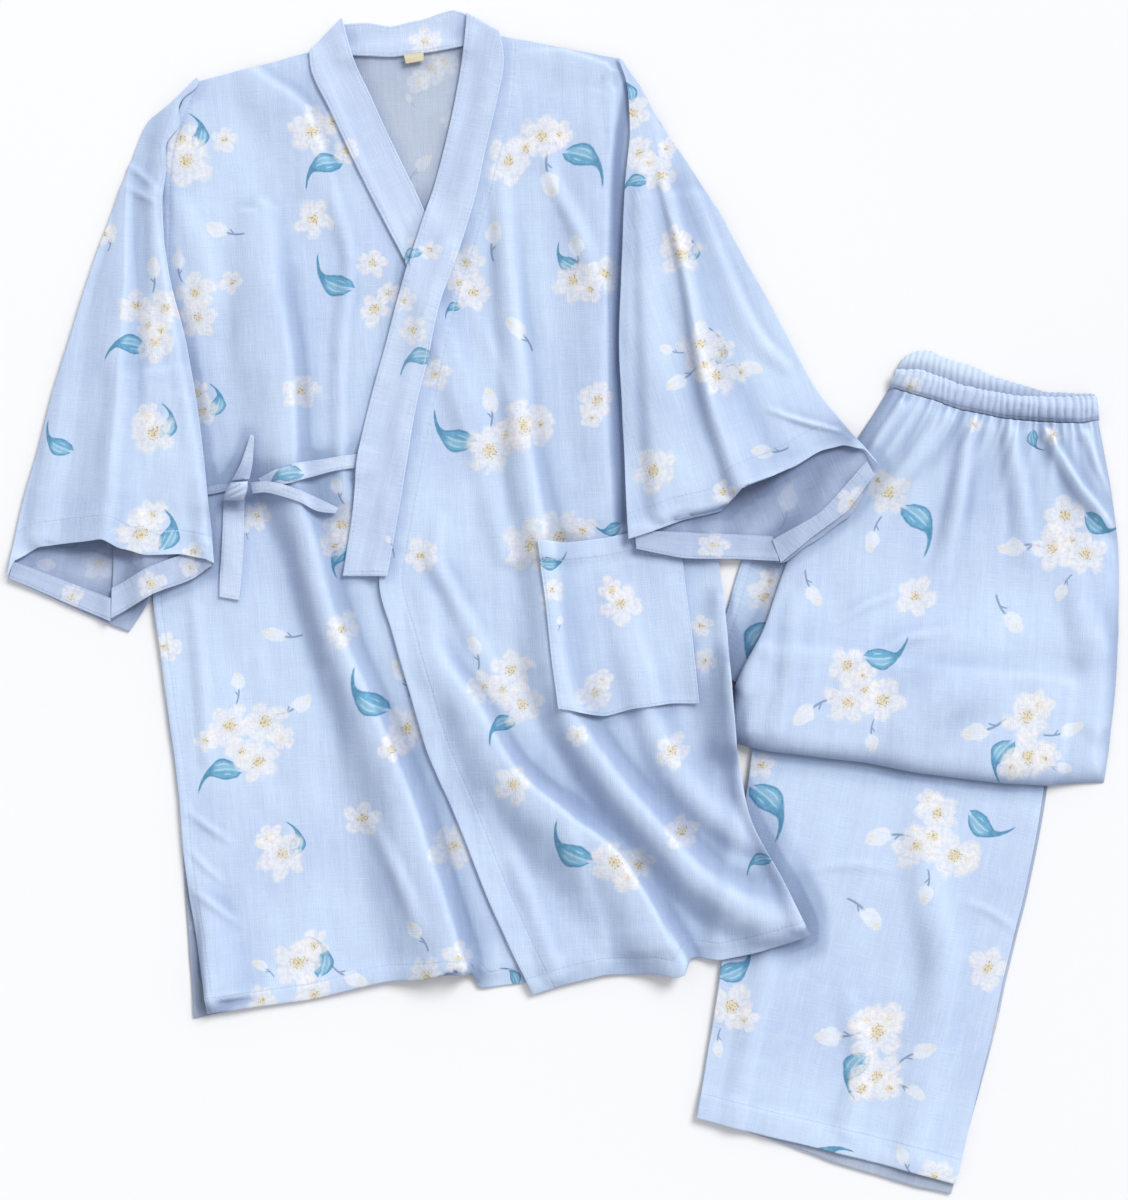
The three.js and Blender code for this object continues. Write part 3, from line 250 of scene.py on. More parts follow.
FRONT_OVER_FOLDS = [
    table("x y h left right", (-106.5, 3.7, 2, 16, 16), (-97.3, -41, 5.5, 15, 26), (-71.1, -77.2, 8.5, 13, 34), (-37.2, -131.8, 11.5, 12, 44), (4.4, -165.7, 14, 11, 54), (38.2, -191.9, 15.5, 11, 60), (56.7, -218.1, 16, 11, 60), (75.2, -248.9, 16, 11, 54), (92.9, -276.6, 15.5, 11, 44)),
    table("x y h left right", (-48, 325.5, 2, 12, 12), (-42.6, 256.2, 6, 14, 15), (-37.2, 201.6, 7, 15, 17), (-31.8, 151.5, 7.5, 16, 20), (-26.4, 94.5, 8.5, 17, 24), (-16.4, 42.2, 9.5, 18, 26), (-11, -14.8, 10.5, 18, 28), (-3.3, -67.2, 11.5, 18, 27), (15.1, -103.3, 12.5, 18, 26), (41.3, -139.5, 13.5, 18, 26), (66.7, -168, 14, 18, 27), (87.5, -191.9, 14, 19, 29), (113.7, -218.1, 13.5, 22, 30), (145.3, -235.8, 11.5, 26, 30), (176.1, -242.7, 9, 28, 26)),
    table("x y h left right", (32.1, 32.9, 1, 14, 12), (45.9, -20.2, 3.5, 16, 16), (62.9, -71.8, 5.5, 18, 18), (69.8, -98, 6.5, 20, 18), (86, -131.8, 7, 22, 18), (109.9, -158, 6.5, 24, 18), (134.5, -178, 5, 22, 16), (153, -187.3, 3, 16, 14)),
    table("x y h left right", (-14.1, 340.9, 1, 9, 9), (-2.6, 314, 2.6, 11, 8), (12.1, 284, 3, 12, 9), (26.7, 240.8, 1.5, 12, 11)),
    table("x y h left right", (-33.4, 424.1, 0.5, 4, 16), (-2.6, 425.6, 2.6, 4, 32), (32.9, 414.9, 2.6, 4, 32)),
    table("x y h left right", (37.5, 394.8, 2, 6, 24), (32.9, 310.1, 4.5, 6, 38), (31.3, 210, 6, 6, 42), (32.9, 117.6, 5, 6, 38), (35.9, 63.7, 2, 6, 28)),
    table("x y h left right", (-95, 63.7, 1, 10, 10), (-99.6, 34.5, 3, 12, 10), (-87.3, 9.8, 4, 12, 10), (-71.1, -22.5, 3.5, 12, 12), (-56.5, -51.8, 1, 10, 10)),
    table("x y h left right", (-64.2, -151.9, 1, 12, 12), (-33.4, -213.5, 2.5, 12, 12), (-5.6, -286.6, 3, 12, 12)),
    table("x y h left right", (122.2, 2.1, 2, 8, 10), (132.2, -87.9, 4, 6, 10), (139.9, -152.6, 5, 6, 9), (163, -198.1, 6, 6, 10), (184.5, -248.1, 6, 6, 14)),
]
SLEEVE_LEFT_CREASE = [
    table("x y h left right", (-336.7, 337.1, 1.5, 5, 8), (-338.3, 287, 4, 6, 12), (-338.3, 243.9, 7, 9, 24), (-342.1, 188.5, 9, 14, 34), (-346, 124.6, 11, 20, 44), (-354.5, 53, 13, 34, 52), (-356, 32.9, 13, 34, 52)),
]
SLEEVE_LEFT_FOLDS = [
    table("x y h left right", (-316.7, 310.1, 0.5, 4, 10), (-310.6, 263.9, 1.6, 4, 12), (-301.3, 210, 2, 4, 12), (-290.5, 156.1, 2, 4, 12), (-281.3, 102.2, 2.4, 4, 14), (-275.1, 44.5, 2.6, 4, 14)),
    table("x y h left right", (-341.4, 342.5, 0.5, 3, 3), (-329, 333.2, 2.4, 4, 4), (-315.2, 320.9, 0.8, 3, 3)),
    table("x y h left right", (-339.8, 324, 0.5, 3, 3), (-326, 315.5, 2.2, 4, 4), (-313.6, 307.8, 0.6, 3, 3)),
    table("x y h left right", (-372.2, 233.1, 0.5, 12, 12), (-386, 156.1, 3, 16, 14), (-401.4, 79.1, 4, 18, 14), (-406, 48.3, 4, 18, 14)),
]
SLEEVE_RIGHT_FOLDS = [
    table("x y h left right", (66.7, 367.9, 1, 40, 40), (100.6, 210, 5, 80, 80), (137.6, 79.1, 9, 88, 84)),
    table("x y h left right", (59, 333.2, 1, 10, 8), (61.3, 263.9, 2.5, 18, 8), (65.2, 194.6, 3.5, 26, 10), (69.8, 133, 4.5, 32, 12), (76, 67.6, 5, 36, 14)),
    table("x y h left right", (75.2, 324.8, 2, 12, 5), (94.5, 250.9, 6, 26, 7), (111.4, 160, 8.5, 36, 9), (136, 88.4, 10, 48, 12)),
    table("x y h left right", (100.6, 317.1, 0.8, 7, 9), (125.3, 256.2, 2.6, 9, 12), (152.2, 201.6, 3, 9, 13), (171.5, 182.3, 1.5, 8, 9)),
    table("x y h left right", (159.1, 148.4, 1, 4, 4), (182.2, 140.7, 3, 4, 4), (211.5, 133, 2, 4, 4)),
]
PANTS_UPPER_FOLDS = [
    table("x y h left right", (295.4, 146.1, 4, 10, 9), (270.8, 109.9, 6, 10, 10), (247.7, 79.1, 1, 9, 9)),
    table("x y h left right", (315.4, 141.5, 4, 9, 9), (307, 102.2, 6, 11, 9), (293.9, 32.9, 3, 16, 12), (282.3, 2.1, 1, 14, 14)),
    table("x y h left right", (343.2, 139.2, 4, 10, 10), (350.1, 94.5, 5, 12, 12), (359.3, 32.9, 1.5, 14, 14)),
    table("x y h left right", (372.4, 132.3, 5, 5, 8), (396.3, 91.5, 6, 6, 9), (423.2, 59.1, 4, 6, 9)),
    table("x y h left right", (401.7, 130, 3, 6, 6), (413.2, 102.2, 3, 6, 6), (427.1, 79.1, 1, 6, 6)),
    table("x y h left right", (259.2, 152.3, 4, 8, 8), (242.3, 125.3, 4.5, 9, 8), (226.9, 98.4, 1, 8, 8)),
    table("x y h left right", (331.6, -36.4, 0.5, 30, 30), (297.7, -67.2, 3, 34, 34), (263.9, -91, 4.5, 36, 34), (220.7, -101.8, 0.5, 30, 30)),
    table("x y h left right", (336.2, -67.2, 1, 28, 28), (305.4, -67.2, 2.5, 28, 28), (259.2, -74.9, 0.5, 28, 28)),
    table("x y h left right", (382.4, 32.9, 1, 18, 18), (405.5, -28.7, 4, 22, 20), (409.4, -98, 3, 22, 20)),
    table("x y h left right", (211.5, -17.1, 0.5, 4, 4), (233.1, -2.5, 2.4, 5, 5), (259.2, 6.8, 0.6, 4, 4)),
    table("x y h left right", (236.1, -44.1, 0.5, 6, 6), (263.1, -28.7, 2.2, 6, 6), (297.7, -22.5, 0.5, 5, 5)),
    table("x y h left right", (178.4, 2.1, 1, 12, 12), (174.5, -44.1, 3, 14, 12), (163, -98, 2, 12, 12)),
]
LEG_FOLDS = [
    table("x y h left right", (278.5, -148, 1, 24, 24), (282.3, -213.5, 5, 26, 26), (293.9, -275.1, 6, 26, 24), (282.3, -352.1, 4, 26, 24), (270.8, -421.4, 3, 24, 24)),
    table("x y h left right", (174.5, -167.3, 1, 16, 16), (163, -252, 3.5, 18, 16), (143.7, -336.7, 3, 18, 16), (132.2, -406, 2.5, 16, 14)),
    table("x y h left right", (220.7, -305.9, 1, 14, 14), (230, -352.1, 3.5, 16, 14), (220.7, -406, 3, 16, 14)),
    table("x y h left right", (186.1, -207.3, 0.4, 4, 4), (220.7, -202.7, 1.6, 5, 5), (259.2, -207.3, 0.4, 4, 4)),
    table("x y h left right", (305.4, -228.9, 0.4, 4, 4), (332.4, -240.4, 1.6, 5, 5), (351.6, -255.8, 0.4, 4, 4)),
]

# ---- seams that sink where a sleeve is set in, with painted shadow along them ----
ARMHOLE_RIGHT = [(50.6, 399.5), (44.4, 364), (42.1, 338.6), (41.3, 263.9), (41.3, 173.9), (42.9, 117.6), (45.2, 63.7)]

# ---- print: where its motifs lie on each piece ----
PRINTS = {
    "front_under": dict(
        blooms=table("x y size turn flat",
            (-291.3, 340.9, 20.6, 41, 0.99), (-295.2, 358.7, 13.5, 50, 0.94), (-262.1, 357.9, 10.8, 9, 0.97), (-194.3, 364, 19.8, 12, 0.89),
            (-168.1, 349.4, 9.8, 7, 0.98), (-178.1, 371.7, 11.7, 27, 0.83), (-193.5, 296.3, 16.2, 55, 0.9), (-284.4, 239.3, 17.1, 30, 0.84),
            (-255.9, 247.8, 10.8, 54, 0.83), (-282.1, 219.3, 15.2, 15, 0.99), (-147.3, 262.4, 11.7, 7, 0.92), (-145.8, 227, 14.4, 50, 0.83),
            (-135, 239.3, 9.8, 28, 0.83), (-202.8, 163.1, 14.4, 17, 0.87), (-279, 147.7, 12.5, 18, 0.92), (-282.8, 162.3, 9.8, 39, 0.92),
            (-172, 60.7, 16.2, 23, 0.84), (-176.6, 44.5, 10.8, 24, 0.89), (-236.6, 66.8, 11.7, 70, 0.95), (-307.5, -34, 12.5, 7, 0.93),
            (-170.4, -20.2, 14.4, 63, 0.94), (-121.1, -97.2, 17.9, 54, 0.96), (-131.9, -111.8, 11.7, 59, 0.93), (-258.2, -95.6, 18.9, 58, 0.89),
            (-231.3, -92.6, 17.9, 31, 0.96), (-235.1, -123.4, 17.9, 31, 0.83), (-217.4, -104.1, 10.8, 38, 0.91), (-275.9, -106.4, 9.8, 43, 0.95),
            (-249, -114.9, 13.5, 36, 0.93), (-155, -166.5, 15.2, 9, 0.84), (-218.2, -195, 20.6, 53, 0.85), (-227.4, -181.1, 11.7, 43, 0.85),
            (-85, -188, 20.6, 62, 0.9), (-205.1, -278.1, 19.8, 9, 0.96), (-192.8, -264.3, 13.5, 40, 0.88), (-192.8, -303.5, 16.2, 44, 0.93),
            (-232, -307.4, 13.5, 58, 0.83), (-81.1, -272.7, 12.5, 11, 0.99), (-105.7, -287.4, 15.2, 60, 0.95)),
        leaves=table("x y size turn flat",
            (-279.8, 364.4, 15.4, 87, 1), (-189.3, 337.5, 18.8, -155, 1), (-181.6, 247.8, 20.9, 149, -1), (-265.9, 156.5, 13.8, 83, 1),
            (-155, -74.1, 23.1, 142, -1), (-268.6, -129.5, 20.2, -166, 1), (-204.7, -182.3, 14.6, 88, 1), (-183.9, -273.1, 17.1, 89, 1),
            (-176.2, 32.9, 12.9, -123, 1), (-38.4, -286.6, 10.6, 121, 1)),
        buds=table("x y size turn flat",
            (-266.7, 288.6, 7.7, 160, -1), (-297.5, 263.9, 6.2, 90, -1), (-175, 90.7, 5.8, 100, -1), (-222, -24.8, 7.7, 170, -1),
            (-251.3, -61, 6.5, 95, 1), (-202.8, -77.9, 7.7, 395, 1), (-232, -186.5, 5, 180, -1), (-125.8, -53.3, 7.7, 120, 1),
            (-114.2, -252.7, 6.9, 135, 1), (-161.2, -290.5, 7.7, 340, 1), (-233.6, -280.4, 5, 150, 1), (-196.6, 382.5, 3.1, 135, 1),
            (-245.1, 56.8, 3.1, 90, -1)),
    ),
    "sleeve_left_front": dict(
        blooms=table("x y size turn flat",
            (-329.8, 228.5, 14.4, 16, 0.95), (-305.9, 227, 16.2, 50, 0.89), (-315.2, 200.8, 17.1, 63, 0.83), (-319.8, 213.9, 11.7, 57, 0.89),
            (-316, 130.7, 17.1, 35, 0.98), (-319.8, 144.6, 10.8, 55, 0.98), (-325.5, 53, 18.9, 35, 0.95), (-316.5, 68.1, 12.4, 45, 0.94),
            (-353.7, 284.7, 8.1, 48, 0.99), (-310.6, 210, 10.8, 19, 0.83), (-285.5, 39, 9.0, 19, 0.86)),
        leaves=table("x y size turn flat",
            (-338.7, 200, 17.9, -177, 1), (-302.1, 138.8, 14.9, 77, 1), (-300.8, 55, 17.4, 74, 1), (-393.7, 123, 16.6, 143, -1)),
        buds=table("x y size turn flat",
            (-316, 257.8, 6.9, 100, 1), (-349.1, 285.5, 5.4, 90, 1), (-325.2, 143.1, 3.5, 135, -1), (-336.7, 54.5, 4.6, 160, 1)),
    ),
    "front_over": dict(
        blooms=table("x y size turn flat",
            (-16.4, 361, 18.9, 0, 0.85), (-42.6, 340.9, 19.8, 68, 0.89), (-29.5, 351.7, 11.7, 40, 0.99), (-2.6, 362.5, 10.8, 65, 0.99),
            (-74.9, 262.4, 15.2, 6, 0.9), (-69.6, 239.3, 15.2, 71, 0.89), (-80.3, 247.8, 11.7, 51, 0.89), (7.4, 248.5, 16.2, 61, 0.93),
            (32.1, 253.9, 16.2, 7, 0.85), (20.5, 240.8, 9.8, 26, 0.9), (25.9, 156.1, 15.2, 14, 0.88), (22.1, 142.3, 9.0, 6, 0.84),
            (-98.8, 176.2, 12.5, 19, 0.92), (-30.3, 136.1, 21.6, 46, 0.93), (-57.2, 118.4, 19.8, 9, 0.98), (-44.1, 128.4, 15.2, 48, 0.85),
            (-17.2, 137.7, 11.7, 32, 0.99), (-109.6, 36.8, 14.4, 46, 0.91), (-24.9, 43.7, 21.6, 14, 0.97), (-3.3, 52.2, 19.8, 59, 0.91),
            (14.4, 56, 11.7, 39, 0.84), (-14.1, 36, 12.5, 13, 0.95), (-61.1, -64.8, 14.4, 33, 0.91), (-39.5, -51, 17.1, 20, 0.91),
            (-31.8, -77.9, 17.1, 26, 0.99), (-46.5, -67.2, 13.5, 67, 0.89), (-38, -139.5, 15.2, 69, 0.98), (83.7, -114.9, 15.2, 67, 0.87),
            (39, -198.8, 17.9, 11, 0.95), (48.3, -211.1, 11.7, 33, 0.91), (91.4, -176.5, 14.4, 21, 0.88), (58.3, -201.9, 12.5, 28, 0.92),
            (109.1, -44.8, 9.8, 64, 0.88), (106, -17.9, 9.0, 28, 0.93), (-8.7, 2.1, 9.0, 24, 0.97), (10.5, -101.8, 9.0, 51, 0.95)),
        leaves=table("x y size turn flat",
            (20.9, 343.3, 22.3, -29, -1), (-0.6, 264.3, 13.6, 140, -1), (-88.8, 127.3, 22.1, 154, -1), (34.4, 55.3, 11.9, -168, -1),
            (-50.7, -94.5, 15.1, -148, 1), (1.3, -191.1, 22.6, 144, -1), (148, -198.8, 12.3, -156, 1), (-86.9, 227.8, 8.9, -152, 1)),
        buds=table("x y size turn flat",
            (-10.3, 324.8, 9.2, 285, 1), (-54.2, 284.7, 7.7, 80, -1), (9.8, 274, 7.3, 100, 1), (-35.7, 211.6, 7.7, 135, 1),
            (-56.5, 155.4, 7.7, 100, 1), (-68.8, -33.3, 6.9, 110, 1), (-135, 47.6, 5, 120, 1), (23.6, -28.7, 2.7, 180, -1),
            (145.3, -151.9, 2.7, 90, -1)),
    ),
    "pocket": dict(
        blooms=table("x y size turn flat",
            (45.2, -0.2, 17.1, 57, 0.97), (37.5, 9.8, 10.8, 44, 0.99), (24.4, -70.2, 15.2, 46, 0.83), (29.8, -59.5, 9.8, 13, 0.86),
            (-8.7, 9.8, 9.8, 25, 0.88)),
        leaves=table("x y size turn flat",
            (-6.8, 29.9, 12.2, 8, 1)),
        buds=table("x y size turn flat",
            (-2.6, -13.3, 3.1, 90, 1)),
    ),
    "collar_over": dict(
        blooms=table("x y size turn flat",
            (-74.9, 262.4, 13.5, 0, 0.91), (-115.8, 210, 11.7, 44, 0.96), (-122.7, 233.1, 9.8, 10, 0.97), (-102.7, 271.6, 9.0, 22, 0.9)),
        leaves=table("x y size turn flat",
            (-115, 189.3, 16.3, -165, 1), (-116.5, 267.8, 8.8, -139, 1)),
        buds=table("x y size turn flat",
            (-95, 160, 5.4, 90, -1), (-134.8, 48.7, 3, 120, -1)),
    ),
    "collar_under": dict(
        blooms=table("x y size turn flat",
            (-168.1, 349.4, 10.8, 59, 0.89), (-110.4, 275.5, 10.8, 10, 0.95)),
        leaves=table("x y size turn flat",
            (-119.6, 268.2, 10.4, -143, 1)),
    ),
    "collar_back": dict(
        blooms=table("x y size turn flat",
            (-106, 434, 14.0, 20, 0.9)),
    ),
    "sleeve_right_front": dict(
        blooms=table("x y size turn flat",
            (53.6, 377.9, 13.5, 60, 0.94), (58.3, 347.9, 13.5, 44, 0.85), (79.8, 351, 9.8, 70, 0.84), (75.2, 329.4, 13.5, 1, 0.96),
            (66.7, 339.4, 11.7, 13, 0.91), (90.6, 268.6, 17.9, 17, 0.9), (86.8, 279.3, 11.7, 24, 0.97), (106, 198.5, 18.9, 27, 0.83),
            (118.3, 173.9, 16.2, 27, 0.87), (108.3, 182.3, 12.5, 30, 0.96), (122.2, 193.1, 11.7, 41, 0.87), (69.8, 102.2, 17.1, 53, 0.97),
            (122.9, 85.3, 9.8, 7, 0.98), (136.8, 177.7, 9.0, 66, 0.9)),
        leaves=table("x y size turn flat",
            (51, 396.8, 12.1, 112, 1), (52.9, 324.8, 12.4, -160, 1), (101.4, 272.4, 10.8, 86, 1), (121, 197, 15.8, 85, 1)),
        buds=table("x y size turn flat",
            (79.8, 194.6, 5, 160, -1), (87.5, 169.2, 7.7, 210, -1), (143.7, 181.6, 7.3, 350, -1), (154.5, 116.1, 7.3, 180, -1),
            (81.4, 275.5, 3.5, 140, 1), (211.5, 193.1, 3.1, 90, 1)),
    ),
    "sleeve_right_back": dict(
        blooms=table("x y size turn flat",
            (116, 44.5, 13.5, 23, 0.93), (221.5, 77.6, 11.7, 19, 0.85)),
        buds=table("x y size turn flat",
            (173.8, 79.9, 9.2, 85, 1)),
    ),
    "cuff_hem_right_back": dict(
        blooms=table("x y size turn flat",
            (116, 44.5, 11.7, 7, 0.88)),
    ),
    "cuff_hem_right_side": dict(
        blooms=table("x y size turn flat",
            (221.5, 77.6, 13.5, 61, 0.96)),
    ),
    "sleeve_left_underarm": dict(
        blooms=table("x y size turn flat",
            (-317.5, 16, 11.7, 13, 0.98)),
        buds=table("x y size turn flat",
            (-329.8, 32.9, 3.9, 90, 1)),
    ),
    "cuff_hem_left_underarm": dict(
        blooms=table("x y size turn flat",
            (-317.5, 15.2, 11.7, 24, 0.87), (-287.5, 28.3, 9.0, 12, 0.91)),
    ),
    "cuff_hem_left_back": dict(
        blooms=table("x y size turn flat",
            (-379.9, 5.2, 10.8, 71, 0.83)),
    ),
    "tie_over": dict(
        leaves=table("x y size turn flat",
            (-216.6, 98.4, 17.6, -161, 1)),
    ),
    "pants_seat": dict(
        blooms=table("x y size turn flat",
            (156.1, 5.2, 14.4, 8, 0.9), (159.9, 17.5, 10.8, 64, 0.93)),
        leaves=table("x y size turn flat",
            (145.3, -31.7, 22.7, -118, 1)),
    ),
    "pants_upper": dict(
        blooms=table("x y size turn flat",
            (250.8, 85.3, 17.1, 25, 0.94), (242.3, 94.5, 9.8, 57, 0.91), (271.6, 4.5, 17.1, 61, 0.91), (387.1, 66.8, 16.2, 31, 0.95),
            (377.8, 41.4, 17.1, 33, 0.99), (403.2, 38.3, 17.1, 25, 0.97), (390.1, 48.3, 12.5, 17, 0.89), (217.7, -48.7, 16.2, 50, 0.9),
            (217.7, -76.4, 17.9, 9, 0.94), (245.4, -74.1, 18.9, 54, 0.83), (231.5, -67.2, 12.5, 38, 0.96), (230, -56.4, 10.8, 19, 0.99),
            (356.3, -87.9, 19.8, 46, 0.85), (365.5, -78.7, 11.7, 17, 0.99), (357, -118, 18.9, 28, 0.95), (370.1, -119.5, 12.5, 12, 0.89),
            (343.9, -125.7, 11.7, 62, 0.85), (316.2, 136.9, 7.2, 28, 0.85), (376.3, 129.2, 8.1, 55, 1)),
        leaves=table("x y size turn flat",
            (278.9, 60.7, 22.9, -53, -1), (414.4, 57.2, 16.6, -28, 1), (250.4, -42.9, 19.9, 11, 1), (333.2, -118.7, 18.3, -120, 1),
            (362, 123.4, 10.3, -69, 1)),
        buds=table("x y size turn flat",
            (238.4, 48.3, 7.3, 260, 1), (193, 6.8, 7.3, 300, 1), (347, 43, 8.9, 190, 1), (384, 8.3, 5.8, 250, 1),
            (345.5, -14.8, 8.9, 310, 1), (186.1, -85.6, 8.9, 220, 1), (236.9, -106.4, 6.5, 275, 1), (317.8, -99.5, 9.2, 195, -1),
            (389.4, -98, 7.7, 380, 1), (384.7, -127.2, 5.8, 350, -1)),
    ),
    "waistband_front": dict(
        blooms=table("x y size turn flat",
            (267.7, 166.2, 9.8, 37, 0.91)),
    ),
    "leg_front": dict(
        blooms=table("x y size turn flat",
            (153, -125.7, 11.7, 8, 0.84), (289.3, -161.9, 17.1, 29, 0.99), (282.3, -151.9, 10.8, 13, 0.84), (272.3, -188, 18.9, 34, 0.83),
            (301.6, -195.7, 19.8, 23, 0.87), (286.2, -181.1, 16.2, 16, 0.97), (311.6, -199.6, 10.8, 33, 0.89), (327.8, -282.8, 17.1, 68, 0.99),
            (129.1, -312, 17.9, 63, 0.95), (139.9, -321.3, 11.7, 11, 0.87), (243.1, -331.3, 23.3, 23, 0.9), (251.5, -321.3, 13.5, 9, 0.87),
            (234.6, -322.8, 12.5, 2, 0.93), (242.3, -365.1, 22.5, 33, 0.84), (251.5, -375.2, 12.5, 28, 0.83), (230, -375.2, 11.7, 15, 0.9)),
        leaves=table("x y size turn flat",
            (164.1, -156.9, 25.5, -53, -1), (327, -176, 20.4, -32, 1), (136.8, -282.8, 19.8, 33, 1), (221.5, -362.1, 20.8, -119, 1)),
        buds=table("x y size turn flat",
            (245.4, -181.1, 8.9, 190, 1), (279.3, -224.2, 6.9, 255, -1), (237.7, -243.5, 8.9, 310, -1), (119.9, -344.4, 5.8, 275, 1),
            (206.1, -335.1, 9.2, 180, -1), (276.9, -345.9, 8.1, 380, -1), (271.6, -378.2, 6.5, 330, -1)),
    ),
    "top_back": dict(
        blooms=table("x y size turn flat",
            (-102.7, 410.2, 13.5, 33, 0.83), (-91.9, 416.4, 10.8, 25, 0.99), (-111.9, 402.5, 9.0, 39, 0.92), (-85.7, 373.3, 9.8, 26, 0.87)),
        buds=table("x y size turn flat",
            (-119.6, 390.2, 3.5, 120, -1)),
    ),
}


# ---- interpolation ----
def smooth(x):
    t = np.clip(x, 0, 1)
    return t * t * (3 - 2 * t)


def curve(at, values, t):
    """Hermite curve through values at the given stations, with slopes from their neighbours."""
    at, values, t = np.asarray(at, float), np.asarray(values, float), np.asarray(t, float)
    rise = np.diff(values) / np.diff(at)
    slope = np.concatenate([rise[:1], 0.5 * (rise[1:] + rise[:-1]), rise[-1:]])
    i = np.clip(np.searchsorted(at, t) - 1, 0, len(at) - 2)
    span = at[i + 1] - at[i]
    x = np.clip((t - at[i]) / span, 0, 1)
    return (
        (2 * x**3 - 3 * x**2 + 1) * values[i]
        + (x**3 - 2 * x**2 + x) * span * slope[i]
        + (-2 * x**3 + 3 * x**2) * values[i + 1]
        + (x**3 - x**2) * span * slope[i + 1]
    )


def profile(rows, s):
    if not rows:
        return np.zeros_like(s)
    at = np.array([row["s"] for row in rows])
    drop = np.array([row["drop"] for row in rows])
    i = np.clip(np.searchsorted(at, s), 1, len(at) - 1)
    x = (s - at[i - 1]) / (at[i] - at[i - 1])
    return drop[i - 1] + (drop[i] - drop[i - 1]) * (0.5 * smooth(x) + 0.5 * x)


def outline(shape, reach=0.22):
    """place(u, v) of a piece: u from its left to its right edge, v from its top to its hem."""
    rows = shape["rows"]
    lx, ly, rx, ry = (np.array([row[key] for row in rows], float) for key in ("lx", "ly", "rx", "ry"))
    step = 0.5 * (np.hypot(np.diff(lx), np.diff(ly)) + np.hypot(np.diff(rx), np.diff(ry)))
    at = np.concatenate([[0], np.cumsum(step)])
    at = at / at[-1]

    def place(u, v):
        ax, ay, bx, by = (curve(at, values, v) for values in (lx, ly, rx, ry))
        from_top = 1 - v if reach >= 1 else smooth(1 - v / reach)
        from_hem = v if reach >= 1 else smooth((v - 1 + reach) / reach)
        drop = profile(shape.get("top"), u) * from_top + profile(shape.get("hem"), u) * from_hem
        return ax + (bx - ax) * u, ay + (by - ay) * u - drop

    return place


def near_line(x, y, line):
    """How far each point is from a line of points, how far along it that is, and on which side."""
    a, b = line[:-1], line[1:]
    d = b - a
    length = np.hypot(d[:, 0], d[:, 1])
    start = np.concatenate([[0], np.cumsum(length)[:-1]])
    best, along, side = np.full(x.shape, 1e9), np.zeros(x.shape), np.ones(x.shape)
    for k in range(len(a)):
        t = np.clip(((x - a[k, 0]) * d[k, 0] + (y - a[k, 1]) * d[k, 1]) / max(length[k] ** 2, 1e-9), 0, 1)
        px, py = x - a[k, 0] - t * d[k, 0], y - a[k, 1] - t * d[k, 1]
        far = np.hypot(px, py)
        closer = far < best
        best = np.where(closer, far, best)
        along = np.where(closer, start[k] + t * length[k], along)
        side = np.where(closer, np.sign(d[k, 0] * py - d[k, 1] * px), side)
    return best, along, side


def along_path(rows, key, t):
    at = np.concatenate([[0], np.cumsum([math.hypot(q["x"] - p["x"], q["y"] - p["y"]) for p, q in zip(rows[:-1], rows[1:])])])
    return curve(at / at[-1], [row[key] for row in rows], t)


def fold_heights(folds, x, y, crisp=False):
    """Ridges along bent paths. left and right are how far a ridge reaches beside its direction of travel."""
    height = np.zeros(x.shape)
    t = np.linspace(0, 1, 33)
    for rows in folds:
        line = np.stack([along_path(rows, "x", t), along_path(rows, "y", t)], axis=1)
        far, along, side = near_line(x, y, line)
        length = np.hypot(*np.diff(line, axis=0).T).sum()
        along = along / length
        peak, left, right = (along_path(rows, key, along) for key in ("h", "left", "right"))
        ends = np.minimum(along, 1 - along) * length
        across = np.clip(far / np.maximum(np.where(side >= 0, left, right), 1.5), 0, 1)
        shape = 1 - across if crisp else 0.5 + 0.5 * np.cos(math.pi * across)
        height = height + np.maximum(0, peak) * shape * np.where(ends > 0, 1, smooth(1 - far / 14))
    return height


def noise(x, y, size, seed, stretch=1.0, turn=0.0):
    """Seeded value noise from 0 to 1, drawn out along the direction turn (degrees from +Y)."""
    lattice = np.random.RandomState(seed).rand(97, 97)
    a = math.radians(turn)
    u = (x * math.cos(a) + y * math.sin(a)) / size + 400
    v = (-x * math.sin(a) + y * math.cos(a)) / (size * stretch) + 400
    i, j = np.floor(u).astype(int), np.floor(v).astype(int)
    s, t = smooth(u - i), smooth(v - j)
    n = lambda p, q: lattice[(i + p) % 97, (j + q) % 97]
    return (n(0, 0) * (1 - s) + n(1, 0) * s) * (1 - t) + (n(0, 1) * (1 - s) + n(1, 1) * s) * t


# ---- the height of what already lies there ----
X0, Y0, NX, NY = -460.0, -490.0, 370, 394
tops = {}


def cells(x, y):
    return (
        np.clip(np.rint((y - Y0) / CELL).astype(int), 0, NY - 1),
        np.clip(np.rint((x - X0) / CELL).astype(int), 0, NX - 1),
    )


def spread(field):
    out = field.copy()
    out[1:] = np.maximum(out[1:], field[:-1])
    out[:-1] = np.maximum(out[:-1], field[1:])
    wide = out.copy()
    wide[:, 1:] = np.maximum(wide[:, 1:], out[:, :-1])
    wide[:, :-1] = np.maximum(wide[:, :-1], out[:, 1:])
    return wide


def clearance(beside):
    field = np.zeros((NY, NX))
    for name, top in tops.items():
        if name not in beside:
            field = np.maximum(field, top)
    field = spread(field)
    return np.where(field > 0, field + GAP, 0.05)


def sample(field, x, y):
    fx, fy = np.clip((x - X0) / CELL, 0, NX - 1.001), np.clip((y - Y0) / CELL, 0, NY - 1.001)
    i, j = fx.astype(int), fy.astype(int)
    s, t = fx - i, fy - j
    return (field[j, i] * (1 - s) + field[j, i + 1] * s) * (1 - t) + (
        field[j + 1, i] * (1 - s) + field[j + 1, i + 1] * s
    ) * t


